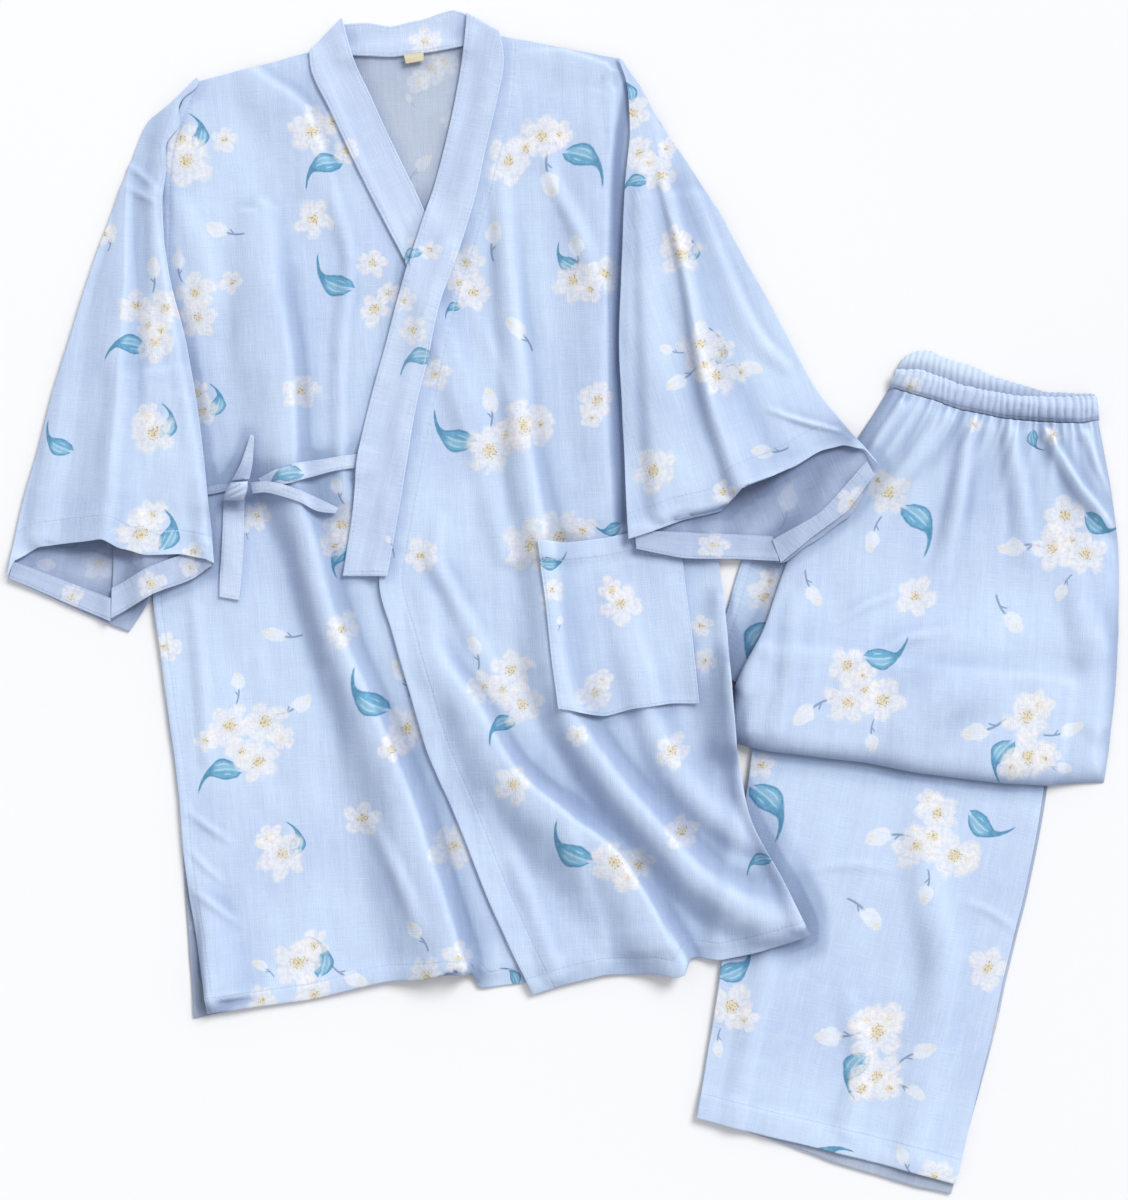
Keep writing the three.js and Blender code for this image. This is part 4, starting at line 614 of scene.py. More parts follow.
def denser(grid, times=3):
    """The grid with its quads divided, by linear interpolation."""
    for axis in (0, 1):
        n = grid.shape[axis]
        at = np.linspace(0, n - 1, (n - 1) * times + 1)
        i = np.minimum(at.astype(int), n - 2)
        s = at - i
        s = s[:, None] if axis == 0 else s[None, :]
        grid = np.take(grid, i, axis) * (1 - s) + np.take(grid, i + 1, axis) * s
    return grid


def settle(floor, x, y, steps=SETTLE_STEPS):
    """Cloth laid on the floor field: it follows the highest points and sags softly beside them."""
    inside = np.zeros((NY, NX), bool)
    inside[cells(denser(x), denser(y))] = True
    inside = spread(inside.astype(np.uint8)).astype(bool)
    rows, columns = np.nonzero(inside)
    r0, r1 = max(rows.min() - 2, 0), min(rows.max() + 3, NY)
    c0, c1 = max(columns.min() - 2, 0), min(columns.max() + 3, NX)
    f, m = floor[r0:r1, c0:c1].copy(), inside[r0:r1, c0:c1]
    h = f.copy()
    core = (slice(1, -1), slice(1, -1))
    sides = [(slice(None, -2), slice(1, -1)), (slice(2, None), slice(1, -1)), (slice(1, -1), slice(None, -2)), (slice(1, -1), slice(2, None))]
    open_ = [m[s].astype(float) for s in sides]
    fall = SAG * CELL * CELL / 4
    for _ in range(steps):
        here = h[core]
        total = sum(h[s] * o + here * (1 - o) for s, o in zip(sides, open_))
        h[core] = np.where(m[core], np.maximum(f[core], total / 4 - fall), here)
    out = floor.copy()
    out[r0:r1, c0:c1] = h
    return out


# ---- one piece of cloth ----
def stations(length, spacing):
    """Values from 0 to 1 that lie closer together near both ends."""
    ends = [e for e in (0.5, 1.3, 2.6, 4.4) if e < 0.2 * length]
    inner = length - 2 * (ends[-1] if ends else 0)
    n = max(2, round(inner / spacing))
    middle = (ends[-1] if ends else 0) + np.linspace(0, inner, n + 1)
    return np.concatenate([[0], ends[:-1], middle, [length - e for e in ends[:-1][::-1]], [length]]) / length if ends else middle / length


pieces = {}
PLACES = {}
LAID = {}


def add_cloth(
    name,
    shape,
    material,
    slot,
    spacing=3.0,
    wall=WALL,
    folds=(),
    creases=(),
    lift=None,
    reach=0.22,
    thick=None,
    beside=(),
    crinkle=1.0,
    grain=0.0,
    hems=(),
    stitches=(),
    rolls=(),
    across=None,
    down=None,
    warp=None,
    held="laid",
    rests_on=(),
    fill=None,
    inks=None,
    nudge=0.6,
    seam=(),
):
    """A closed thin shell: its underside settles on what lies below, and its edges are rounded.
    hems are (side, width): the turned-in band. stitches are (side, inset). rolls are (side, radius):
    the cloth runs over that edge and down. seam is a line of points where the cloth sinks into a seam."""
    place = outline(shape, reach)
    ends = np.linspace(0, 1, 60)
    lines = {
        "left": np.stack(place(np.zeros(60), ends), 1),
        "right": np.stack(place(np.ones(60), ends), 1),
        "top": np.stack(place(ends, np.zeros(60)), 1),
        "hem": np.stack(place(ends, np.ones(60)), 1),
    }
    length = lambda line: np.hypot(*np.diff(line, axis=0).T).sum()
    us = stations(max(length(lines["top"]), length(lines["hem"])), across or spacing)
    vs = stations(max(length(lines["left"]), length(lines["right"])), down or spacing)
    u, v = np.meshgrid(us, vs)
    x, y = place(u, v)
    fx, fy = x.copy(), y.copy()  # where the print and the stitches are
    if warp:
        x, y = warp(x, y, u, v)
    x = x + nudge * (noise(x, y, 23, 5) - 0.5)
    y = y + nudge * (noise(x, y, 23, 6) - 0.5)
    floor = clearance(beside)
    z = sample(settle(floor, x, y), x, y)
    if len(folds):
        z = z + fold_heights(folds, x, y)
    if len(creases):
        z = z + fold_heights(creases, x, y, True)
    if lift:
        z = z + lift(u, v, x, y)
    sunk = near_line(x, y, np.array(seam))[0] if len(seam) else np.full(x.shape, 99.0)
    z = z - SEAM_DEPTH * np.exp(-((sunk / 4.5) ** 2))
    z = z + crinkle * (
        0.75 * noise(x, y, 21, 11, 2.6, grain)
        + 0.5 * noise(x, y, 11, 12, 3.2, grain + 6)
        + 0.28 * noise(x, y, 6.5, 13, 3.5, grain - 5)
        + 0.2 * noise(x, y, 9, 14, 3.0, grain + 90)
    )
    edge = {side: near_line(x, y, line)[0] for side, line in lines.items()}
    t = np.full(x.shape, wall) if thick is None else thick(u, v, x, y)
    for side, width in hems:
        e = edge[side]
        t = t + HEMMED * smooth((width + 1.2 - e) / 2.4)
        z = z + 0.35 * np.exp(-(((e - 0.45 * width) / (0.5 * width)) ** 2)) * (0.5 + noise(x, y, 9, 31))
    for side, radius in rolls:
        e = np.clip(edge[side] / radius, 0, 1)
        down_to = sample(floor, x, y)
        z = down_to + (z - down_to) * np.sqrt(np.clip(1 - (1 - e) ** 2, 0, 1))
    z = np.maximum(z, np.maximum(sample(floor, x, y), floor[cells(x, y)]))
    rim = np.minimum(np.minimum(edge["left"], edge["right"]), np.minimum(edge["top"], edge["hem"]))
    pinch = 0.5 * t * (1 - np.sqrt(np.clip(1 - (1 - np.clip(rim / (0.6 * t), 0, 1)) ** 2, 0.04, 1)))
    low, high = z + pinch, z + t - pinch
    top = np.zeros((NY, NX))
    at = cells(denser(x), denser(y))
    np.maximum.at(top, at, denser(z + t))
    tops[name] = top

    nv, nu = x.shape
    count = nv * nu
    ids = np.arange(count).reshape(nv, nu)
    a, b, c, d = (g.ravel() for g in (ids[:-1, :-1], ids[:-1, 1:], ids[1:, 1:], ids[1:, :-1]))
    upper = np.stack([a + count, d + count, c + count, b + count], 1)
    lower = np.stack([a, b, c, d], 1)
    ring = np.concatenate([ids[:-1, 0], ids[-1, :-1], ids[1:, -1][::-1], ids[0, 1:][::-1]])
    following = np.roll(ring, -1)
    side = np.stack([ring, following, following + count, ring + count], 1)
    faces = np.concatenate([upper, lower, side])
    points = np.concatenate(
        [np.stack([x.ravel(), y.ravel(), low.ravel()], 1), np.stack([x.ravel(), y.ravel(), high.ravel()], 1)]
    )
    flat_x, flat_y = np.tile(fx.ravel(), 2), np.tile(fy.ravel(), 2)

    mesh = bpy.data.meshes.new("garment_" + name)
    mesh.from_pydata((points / 1000).tolist(), [], faces.tolist())
    mesh.polygons.foreach_set("use_smooth", [True] * len(faces))
    cx, cy = flat_x[faces], flat_y[faces]  # corners, where they are in the flat cut
    mx, my = cx.mean(1), cy.mean(1)
    g = math.radians(grain)
    uv(mesh, "cloth", cx * math.cos(g) + cy * math.sin(g), -cx * math.sin(g) + cy * math.cos(g))

    # the nearest stitch line: how far it is and how far along
    near, far, run = np.full(len(faces), 1e9), np.full(cx.shape, 60.0), cy.copy()
    for where, inset in stitches:
        distance, along, _ = near_line(flat_x, flat_y, lines[where])
        off = (distance - inset)[faces]
        closer = np.abs(off.mean(1)) < near
        near = np.where(closer, np.abs(off.mean(1)), near)
        far = np.where(closer[:, None], off, far)
        run = np.where(closer[:, None], along[faces], run)
    uv(mesh, "stitch", far, run)
    # distance to the sunk seam line, for the painted shadow along it
    flat_sunk = near_line(fx, fy, np.array(seam))[0].ravel() if len(seam) else np.full(count, 60.0)
    uv(mesh, "seam", np.tile(flat_sunk, 2)[faces], np.zeros(cx.shape))

    # the print: each face takes the nearest motif of each layer
    for layer, motifs in layers_of(inks if inks is not None else PRINTS.get(name, {})).items():
        if not motifs:
            uv(mesh, layer, np.full(cx.shape, 9.0), np.full(cx.shape, 9.0))
            continue
        best, lu, lv = np.full(len(faces), 1e9), np.full(cx.shape, 9.0), np.full(cx.shape, 9.0)
        for m in motifs:
            s, k = math.sin(math.radians(m["turn"])), math.cos(math.radians(m["turn"]))
            px, py = ((cx - m["x"]) * k + (cy - m["y"]) * s) / m["size"], (-(cx - m["x"]) * s + (cy - m["y"]) * k) / (m["size"] * m["flat"])
            score = np.hypot(px.mean(1) - m["mid"], py.mean(1))
            closer = score < best
            best = np.where(closer, score, best)
            lu = np.where(closer[:, None], px, lu)
            lv = np.where(closer[:, None], py, lv)
        far_off = best > 4
        uv(mesh, layer, np.where(far_off[:, None], 9.0, lu), np.where(far_off[:, None], 9.0, lv))

    LAID[name] = (mesh, x, y, z + t, faces)
    made = bpy.data.objects.new("garment_" + name, mesh)
    bpy.context.scene.collection.objects.link(made)
    mesh.materials.append(material)
    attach(made, "root")
    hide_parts(name)
    flat = 0.5 * np.abs(
        (fx[:-1, :-1] - fx[1:, 1:]) * (fy[:-1, 1:] - fy[1:, :-1]) - (fx[:-1, 1:] - fx[1:, :-1]) * (fy[:-1, :-1] - fy[1:, 1:])
    ).sum() * (fill or 1)
    wide, long_ = max(length(lines["top"]), length(lines["hem"])), max(length(lines["left"]), length(lines["right"]))
    if flat > wide * long_:
        wide = flat / long_
    pieces[name] = made
    PLACES[name] = dict(wide=wide, long=long_, flat=flat, triangles=2 * len(faces))
    return made


def uv(mesh, name, us, vs):
    layer = mesh.uv_layers.new(name=name)
    layer.data.foreach_set("uv", np.stack([us.ravel(), vs.ravel()], 1).astype(np.float32).ravel())


def blurred(field, times):
    for _ in range(times):
        for axis in (0, 1):
            field = 0.5 * field + 0.25 * (np.roll(field, 1, axis) + np.roll(field, -1, axis))
    return field


def write_shade_depths():
    """Layer depth: how far each point lies below the cloth close beside it and in its wider surroundings, from which
    the materials paint shade.
    """
    height = np.zeros((NY, NX))
    for top in tops.values():
        height = np.maximum(height, top)
    close, wide = height, height
    for _ in range(2):
        close = spread(close)
    for _ in range(6):
        wide = spread(wide)
    close, wide = blurred(close, 2), blurred(wide, 5)
    for mesh, x, y, z, faces in LAID.values():
        small = np.maximum(sample(close, x, y) - z - 0.7, 0).ravel()
        large = np.maximum(sample(wide, x, y) - z - 1.2, 0).ravel()
        uv(mesh, "depth", np.tile(small, 2)[faces], np.tile(large, 2)[faces])


# ---- print: layers, and motifs for the stretches that the chart leaves out ----
def scattered(low, high, charted, seed, apart=105.0, clear=62.0):
    """More sprigs, of the same make and spacing as the charted ones, where none is charted."""
    draw = np.random.RandomState(seed)
    out = {"blooms": [], "leaves": [], "buds": []}
    taken = [(m["x"], m["y"]) for m in charted]
    for gy in np.arange(low[1] - 20, high[1] + 20, apart * 0.8):
        for gx in np.arange(low[0] - 20, high[0] + 20, apart):
            x, y = gx + draw.uniform(-24, 24), gy + draw.uniform(-20, 20)
            turn, kind = draw.uniform(0, 360), draw.rand()
            if any((x - a) ** 2 + (y - b) ** 2 < clear**2 for a, b in taken):
                continue
            c, s = math.cos(math.radians(turn)), math.sin(math.radians(turn))
            at = lambda p, q: (x + p * c - q * s, y + p * s + q * c)
            spots = [(0, 0, 16)] if kind < 0.4 else [(-14, 8, 16), (16, 10, 17), (2, -18, 16), (24, -8, 10)]
            for p, q, size in spots:
                px, py = at(p, q)
                out["blooms"].append(dict(x=px, y=py, size=size * draw.uniform(0.85, 1.1), turn=draw.uniform(0, 72), flat=draw.uniform(0.82, 1)))
            px, py = at(-30, -10)
            if kind > 0.25:
                out["leaves"].append(dict(x=px, y=py, size=19, turn=turn + draw.uniform(120, 240), flat=1 if draw.rand() < 0.5 else -1))
            px, py = at(8, 38)
            out["buds"].append(dict(x=px, y=py, size=6.5, turn=turn + 90 + draw.uniform(-30, 30), flat=1 if draw.rand() < 0.5 else -1))
    return out


def layers_of(inks):
    """Blossoms go on two layers, so that neighbours overlap."""
    layers = {"bloom_a": [], "bloom_b": [], "leaf": [], "bud": []}
    for m in inks.get("blooms", []):
        near = {
            key: min([math.hypot(m["x"] - o["x"], m["y"] - o["y"]) - o["size"] for o in layers[key]] or [1e6])
            for key in ("bloom_a", "bloom_b")
        }
        layers[max(near, key=near.get)].append(dict(m, mid=0.0))
    layers["leaf"] = [dict(m, mid=0.0) for m in inks.get("leaves", [])]
    layers["bud"] = [dict(m, mid=-0.9) for m in inks.get("buds", [])]
    return layers


# ---- materials ----
def srgb(r, g, b):
    lin = lambda c: c / 12.92 if c <= 0.04045 else ((c + 0.055) / 1.055) ** 2.4
    return (lin(r / 255), lin(g / 255), lin(b / 255), 1)


class Graph:
    def __init__(self, name):
        self.material = bpy.data.materials.new(name)
        self.material.use_nodes = True
        self.tree = self.material.node_tree
        self.tree.nodes.clear()

    def node(self, kind, inputs=(), **settings):
        n = self.tree.nodes.new(kind)
        for key, value in settings.items():
            setattr(n, key, value)
        for key, value in dict(inputs).items():
            if isinstance(value, bpy.types.NodeSocket):
                self.tree.links.new(value, n.inputs[key])
            else:
                n.inputs[key].default_value = value
        return n

    def math(self, op, a, b=0.0, c=0.0, clamp=False):
        n = self.node("ShaderNodeMath", {0: a, 1: b, 2: c}, operation=op)
        n.use_clamp = clamp
        return n.outputs[0]

    def add(self, a, b):
        return self.math("ADD", a, b)

    def sub(self, a, b):
        return self.math("SUBTRACT", a, b)

    def mul(self, a, b, clamp=False):
        return self.math("MULTIPLY", a, b, clamp=clamp)

    def step(self, value, low, high, to_low=0.0, to_high=1.0):
        """Smooth ramp from to_low at low to to_high at high. Either order of low and high works."""
        if not isinstance(low, bpy.types.NodeSocket) and not isinstance(high, bpy.types.NodeSocket) and low > high:
            low, high, to_low, to_high = high, low, to_high, to_low
        return self.node(
            "ShaderNodeMapRange",
            {0: value, 1: low, 2: high, 3: to_low, 4: to_high},
            interpolation_type="SMOOTHSTEP",
        ).outputs[0]

    def mix(self, fac, a, b):
        n = self.node("ShaderNodeMix", {0: fac, 6: a, 7: b}, data_type="RGBA")
        return n.outputs[2]

    def tint(self, fac, a, b):
        n = self.node("ShaderNodeMix", {0: fac, 6: a, 7: b}, data_type="RGBA", blend_type="MULTIPLY")
        return n.outputs[2]

    def uv(self, name):
        n = self.node("ShaderNodeUVMap", uv_map=name)
        s = self.node("ShaderNodeSeparateXYZ", {0: n.outputs[0]})
        return n.outputs[0], s.outputs[0], s.outputs[1]

    def vector(self, x, y, z=0.0):
        return self.node("ShaderNodeCombineXYZ", {0: x, 1: y, 2: z}).outputs[0]

    def cloud(self, vector, scale, detail=2.0, rough=0.5):
        return self.node(
            "ShaderNodeTexNoise", {"Vector": vector, "Scale": scale, "Detail": detail, "Roughness": rough}, noise_dimensions="2D"
        ).outputs[0]


def blossom(g, layer, fuzz, ragged):
    """Loose five-petal blossom of radius 1, as if brushed on: petal cover, the lines between petals, rim, and depth toward the centre."""
    _, x, y = g.uv(layer)
    r = g.math("SQRT", g.add(g.mul(x, x), g.mul(y, y)))
    angle = g.math("ARCTAN2", y, x)
    sway = g.sub(ragged, 0.5)
    wobble = g.add(g.mul(sway, 0.55), g.mul(g.sub(fuzz, 0.5), 0.26))
    turn = g.add(g.mul(angle, 5 / (2 * math.pi)), g.mul(sway, 0.55))
    a = g.math("ABSOLUTE", g.sub(g.math("FRACT", g.add(turn, 10.5)), 0.5))
    edge = g.sub(1.0, g.mul(g.math("POWER", g.mul(a, 2.0), 2.4), 0.34))
    edge = g.add(edge, wobble)
    cover = g.step(g.sub(r, edge), 0.14, -0.18)
    slit = g.mul(g.step(a, 0.40, 0.5), g.step(r, 0.3, 0.7))
    rim = g.mul(g.step(g.sub(edge, r), 0.30, 0.06), cover)
    inner = g.step(r, 0.62, 0.1)
    heart = g.step(g.add(r, g.mul(sway, 0.25)), 0.30, 0.06)
    anthers = g.step(g.add(r, g.mul(sway, 0.5)), 0.38, 0.16)
    return cover, slit, rim, inner, heart, anthers


def leaf(g, fuzz):
    """Leaf from -1 to its hooked tip at 1: cover, brushed strokes along it, dark outline, and the pale middle."""
    _, x, y = g.uv("leaf")
    hook = g.math("MAXIMUM", g.sub(x, 0.18), 0.0)
    yc = g.add(g.mul(g.mul(x, x), 0.30), g.mul(g.mul(hook, hook), 0.95))
    d = g.add(g.sub(y, yc), g.mul(g.sub(fuzz, 0.5), 0.05))
    steep = g.math("SQRT", g.add(1.0, g.mul(g.mul(hook, hook), 5.0)))
    off = g.math("ABSOLUTE", d)
    t = g.mul(g.add(x, 0.30), 1 / 0.46)
    body = g.mul(g.math("POWER", 2.71828, g.mul(g.mul(t, t), -1.0)), 0.27)
    tail = g.mul(g.mul(g.mul(g.sub(1.16, x), 0.105), steep), g.step(x, -1.0, -0.7))
    width = g.add(body, tail)
    ends = g.mul(g.step(x, -1.0, -0.94), g.step(x, 0.90, 0.80))
    notch = g.mul(g.step(x, -0.62, -0.9), g.step(g.math("ABSOLUTE", g.add(d, 0.02)), 0.09, 0.03))
    cover = g.mul(g.mul(g.step(g.sub(off, width), 0.04, -0.04), ends), g.sub(1.0, notch))
    share = g.node("ShaderNodeMath", {0: d, 1: g.math("MAXIMUM", width, 0.02)}, operation="DIVIDE").outputs[0]
    strokes = 0.0
    for at, thick, start, end in ((0.02, 0.15, -0.78, 0.16), (-0.48, 0.12, -0.62, 0.02), (0.50, 0.10, -0.60, -0.18)):
        line = g.mul(g.step(g.math("ABSOLUTE", g.sub(share, at)), thick, 0.3 * thick), g.mul(g.step(x, start, start + 0.14), g.step(x, end, end - 0.2)))
        strokes = g.math("MAXIMUM", line, strokes)
    rim = g.step(g.sub(width, off), 0.11, 0.02)
    dark = g.math("MAXIMUM", rim, g.mul(g.step(x, -0.05, 0.3), 0.8))
    middle = g.mul(g.step(g.math("ABSOLUTE", g.add(share, 0.25)), 0.55, 0.2), g.mul(g.step(x, 0.15, -0.2), g.step(x, -0.9, -0.6)))
    return cover, strokes, dark, middle


def bud(g, fuzz, ragged):
    """Bud of radius 1 on a stem that leaves along -x."""
    _, x, y = g.uv("bud")
    ex = g.mul(g.sub(x, 0.16), 0.80)
    ey = g.mul(g.mul(y, 1.22), g.add(1.0, g.mul(g.math("MAXIMUM", x, 0.0), 0.28)))
    r = g.math("SQRT", g.add(g.mul(ex, ex), g.mul(ey, ey)))
    uneven = g.add(g.mul(g.sub(fuzz, 0.5), 0.4), g.mul(g.sub(ragged, 0.5), 0.6))
    cover = g.step(g.add(r, uneven), 1.08, 0.80)
    tip = g.mul(g.mul(g.step(x, 0.1, 0.7), g.step(g.math("ABSOLUTE", y), 0.55, 0.2)), cover)
    bend = g.add(x, 0.9)
    yc = g.mul(g.mul(bend, bend), 0.16)
    stem = g.mul(g.step(g.math("ABSOLUTE", g.sub(y, yc)), 0.16, 0.05), g.mul(g.step(x, -0.75, -0.9), g.step(x, -2.75, -2.55)))
    side = g.mul(
        g.step(g.math("ABSOLUTE", g.sub(g.sub(y, yc), g.mul(g.add(x, 1.7), 0.75))), 0.12, 0.05),
        g.mul(g.step(x, -1.7, -1.65), g.step(x, -1.05, -1.2)),
    )
    return cover, tip, g.math("MAXIMUM", stem, side)


def gauze(name, ground, shade, glow, ink=1.0, warm=0.0, seed=0.0, mottle=1.0):
    """Slub cotton gauze: ground colour with its lilac and its bright variation, the print at strength ink, stitch
    lines, and painted shade in stitch grooves, along the sunk seam and below nearby cloth.
    """
    g = Graph(name)
    place, cx, cy = g.uv("cloth")
    shifted = g.vector(g.add(cx, seed * 37.0), g.add(cy, seed * 91.0))
    broad = g.cloud(shifted, 0.010, 1.0)
    middle = g.cloud(shifted, 0.06, 2.0)
    warp = g.cloud(g.vector(g.mul(cx, 1.15), g.mul(cy, 0.055)), 1.0, 2.0, 0.6)
    weft = g.cloud(g.vector(g.mul(cx, 0.05), g.mul(cy, 1.3)), 1.0, 2.0, 0.6)
    streak = g.cloud(g.vector(g.mul(cx, 0.22), g.mul(cy, 0.012)), 1.0, 2.0, 0.6)
    fine = g.cloud(place, 1.1, 2.0, 0.6)
    fuzz = g.cloud(place, 0.20, 2.0)
    ragged = g.cloud(place, 0.075, 1.0)
    wash = g.cloud(place, 0.30, 2.0)
    speck = g.cloud(place, 0.62, 1.0)
    colour = g.mix(g.step(broad, 0.3, 0.7, 0.25, 1.0), shade, ground)
    colour = g.mix(g.mul(g.step(streak, 0.45, 0.72), 0.20 * mottle), colour, glow)
    colour = g.mix(g.mul(g.step(streak, 0.48, 0.28), 0.18 * mottle), colour, shade)
    colour = g.mix(g.mul(g.step(middle, 0.5, 0.78), 0.16 * mottle), colour, glow)
    slub = g.math("MAXIMUM", g.step(warp, 0.55, 0.72), g.step(weft, 0.56, 0.74))
    colour = g.mix(g.mul(slub, 0.30 * mottle), colour, glow)
    thin = g.math("MAXIMUM", g.step(warp, 0.44, 0.28), g.step(weft, 0.44, 0.28))
    colour = g.mix(g.mul(thin, 0.26 * mottle), colour, shade)
    colour = g.mix(g.mul(g.step(fine, 0.45, 0.7), 0.10), colour, glow)
    if ink > 0:
        white, cream, rosy = srgb(245, 246, 248), srgb(242, 239, 226), srgb(238, 232, 236)
        ochre, brown = srgb(224, 204, 150), srgb(158, 140, 104)
        teal, deep, pale = srgb(98, 168, 202), srgb(56, 124, 164), srgb(180, 214, 236)
        stalk = srgb(108, 132, 170)
        cover, veins, dark, middle_of = leaf(g, fuzz)
        leafy = g.mix(g.mul(dark, 0.80), teal, deep)
        leafy = g.mix(g.mul(middle_of, 0.40), leafy, pale)
        leafy = g.mix(g.mul(veins, 0.78), leafy, pale)
        colour = g.mix(g.mul(cover, g.step(wash, 0.2, 0.6, 0.78 * ink, 0.95 * ink)), colour, leafy)
        cover, tip, lines = bud(g, fuzz, ragged)
        colour = g.mix(g.mul(lines, 0.72 * ink), colour, stalk)
        colour = g.mix(g.mul(cover, g.step(wash, 0.2, 0.7, 0.44 * ink, 0.68 * ink)), colour, white)
        colour = g.mix(g.mul(g.mul(tip, g.step(wash, 0.4, 0.62)), 0.4 * ink), colour, ochre)
        for layer in ("bloom_a", "bloom_b"):
            cover, slit, rim, inner, heart, anthers = blossom(g, layer, fuzz, ragged)
            petal = g.mix(g.step(wash, 0.35, 0.65), rosy, white)
            petal = g.mix(g.mul(g.math("MAXIMUM", inner, g.mul(rim, 0.8)), 0.62), petal, cream)
            body = g.add(g.step(wash, 0.22, 0.66, 0.50, 0.70), g.mul(rim, 0.12))
            body = g.mul(body, g.sub(1.0, g.mul(slit, 0.30)))
            colour = g.mix(g.mul(g.mul(cover, body), ink), colour, petal)
            colour = g.mix(g.mul(heart, 0.62 * ink), colour, ochre)
            dots = g.mul(anthers, g.step(speck, 0.50, 0.60))
            colour = g.mix(g.mul(dots, 0.66 * ink), colour, ochre)
            dots = g.mul(anthers, g.step(speck, 0.575, 0.66))
            colour = g.mix(g.mul(dots, 0.62 * ink), colour, brown)
    _, far, run = g.uv("stitch")
    off = g.math("ABSOLUTE", far)
    groove = g.step(off, 1.1, 0.2)
    dash = g.mul(g.step(off, 0.42, 0.22), g.step(g.math("FRACT", g.mul(run, 1 / 3.1)), 0.72, 0.66))
    # painted shade darkens the stitch groove; the lighter dashes after it are the thread's own colour
    colour = g.mix(g.mul(groove, 0.40), colour, shade)
    colour = g.mix(g.mul(dash, 0.5), colour, glow)
    # painted shadow: cloth darkens toward a deep blue-grey close to the sunk seam line
    _, sunk, _ = g.uv("seam")
    colour = g.mix(g.step(sunk, 6.5, 1.2, 0.0, 0.66), colour, srgb(128, 148, 188))
    # painted shade: the cloth darkens where it lies below the cloth close beside it (under layer edges, in openings)
    # and in wide troughs between folds
    _, close, wide = g.uv("depth")
    colour = g.tint(g.step(wide, 0.0, 17.0, 0.0, 0.95), colour, srgb(212, 217, 224))
    colour = g.tint(g.step(close, 0.0, 5.0, 0.0, 0.80), colour, srgb(209, 213, 223))
    pucker = g.mul(g.step(off, 6.0, 0.6), g.cloud(g.vector(g.mul(run, 0.32), g.mul(far, 0.06)), 1.0, 1.0))
    height = g.add(g.mul(warp, 0.55), g.mul(weft, 0.42))
    height = g.add(height, g.add(g.mul(fine, 0.22), g.mul(middle, 0.7)))
    height = g.add(height, g.add(g.mul(groove, -0.55), g.mul(dash, 0.35)))
    height = g.add(height, g.mul(pucker, 0.9))
    bump = g.node("ShaderNodeBump", {"Strength": 0.6, "Distance": 0.0007, "Height": height})
    rough = g.step(g.add(warp, weft), 0.7, 1.3, 0.93, 0.82)
    shader = g.node(
        "ShaderNodeBsdfPrincipled",
        {"Base Color": colour, "Roughness": rough, "Normal": bump.outputs[0], "Specular IOR Level": 0.12, "Sheen Weight": 0.14, "Sheen Roughness": 0.6},
    )
    out = g.node("ShaderNodeOutputMaterial", {"Surface": shader.outputs[0]})
    assert out
    return g.material


# ---- looks ----
GROUND, SHADE, GLOW = srgb(203, 221, 247), srgb(189, 206, 237), srgb(215, 236, 254)
right_side = gauze("gauze_right_side", GROUND, SHADE, GLOW, 1.0)
wrong_side = gauze("gauze_wrong_side", srgb(188, 199, 217), srgb(174, 186, 207), srgb(200, 213, 231), 0.40, seed=3)
# sleeves' inner layers: darker than the wrong side, painted shade for the inside of the cuff openings
inside = gauze("gauze_sleeve_inside_shaded", srgb(177, 191, 218), srgb(163, 178, 208), srgb(190, 206, 233), 0.35, seed=3)
# cuff hems: printed cloth at lower ink, darkened with painted shade of the cuff openings
turned = gauze("gauze_cuff_hem_shaded", srgb(189, 203, 230), srgb(176, 191, 221), srgb(204, 220, 243), 0.8, seed=4)
# inner band of the back casing: painted light, a paler copy of the ground that keeps it bright against its shade
lit_inner_band = gauze("gauze_inner_band", srgb(216, 232, 249), srgb(200, 216, 240), srgb(227, 242, 253), 0.4, seed=6)
banding = gauze("gauze_band", srgb(204, 220, 245), srgb(190, 206, 237), srgb(217, 235, 253), 0.9, seed=5)
tape = gauze("gauze_tie", srgb(210, 224, 246), srgb(192, 207, 237), srgb(224, 237, 253), 0.9, seed=7)
tag = gauze("label_tape", srgb(226, 218, 186), srgb(214, 204, 168), srgb(236, 230, 206), 0.0, seed=9, mottle=0.5)

for name, seed in (("front_under", 1), ("front_over", 2), ("top_back", 3), ("pants_upper", 4), ("leg_front", 5), ("pants_core", 6), ("leg_back", 7)):
    shape = {"front_under": FRONT_UNDER, "front_over": FRONT_OVER, "top_back": TOP_BACK, "pants_upper": PANTS_UPPER, "leg_front": LEG_FRONT, "pants_core": PANTS_CORE, "leg_back": LEG_BACK}[name]
    xs = [row[key] for row in shape["rows"] for key in ("lx", "rx")]
    ys = [row[key] for row in shape["rows"] for key in ("ly", "ry")]
    chart = PRINTS.setdefault(name, {})
    known = [m for kind in ("blooms", "leaves", "buds") for m in chart.get(kind, [])]
    if name in ("front_under", "front_over", "pants_upper"):
        continue
    extra = scattered((min(xs), min(ys)), (max(xs), max(ys)), known, 40 + seed)
    for kind in ("blooms", "leaves", "buds"):
        chart[kind] = chart.get(kind, []) + extra[kind]
for name, shape, seed in (("sleeve_left_back", SLEEVE_LEFT_BACK, 8), ("sleeve_right_back", SLEEVE_RIGHT_BACK, 9), ("sleeve_left_underarm", SLEEVE_LEFT_UNDERARM, 10)):
    xs = [row[key] for row in shape["rows"] for key in ("lx", "rx")]
    ys = [row[key] for row in shape["rows"] for key in ("ly", "ry")]
    chart = PRINTS.setdefault(name, {})
    known = [m for kind in ("blooms", "leaves", "buds") for m in chart.get(kind, [])]
    extra = scattered((min(xs), min(ys)), (max(xs), max(ys)), known, 40 + seed)
    for kind in ("blooms", "leaves", "buds"):
        chart[kind] = chart.get(kind, []) + extra[kind]


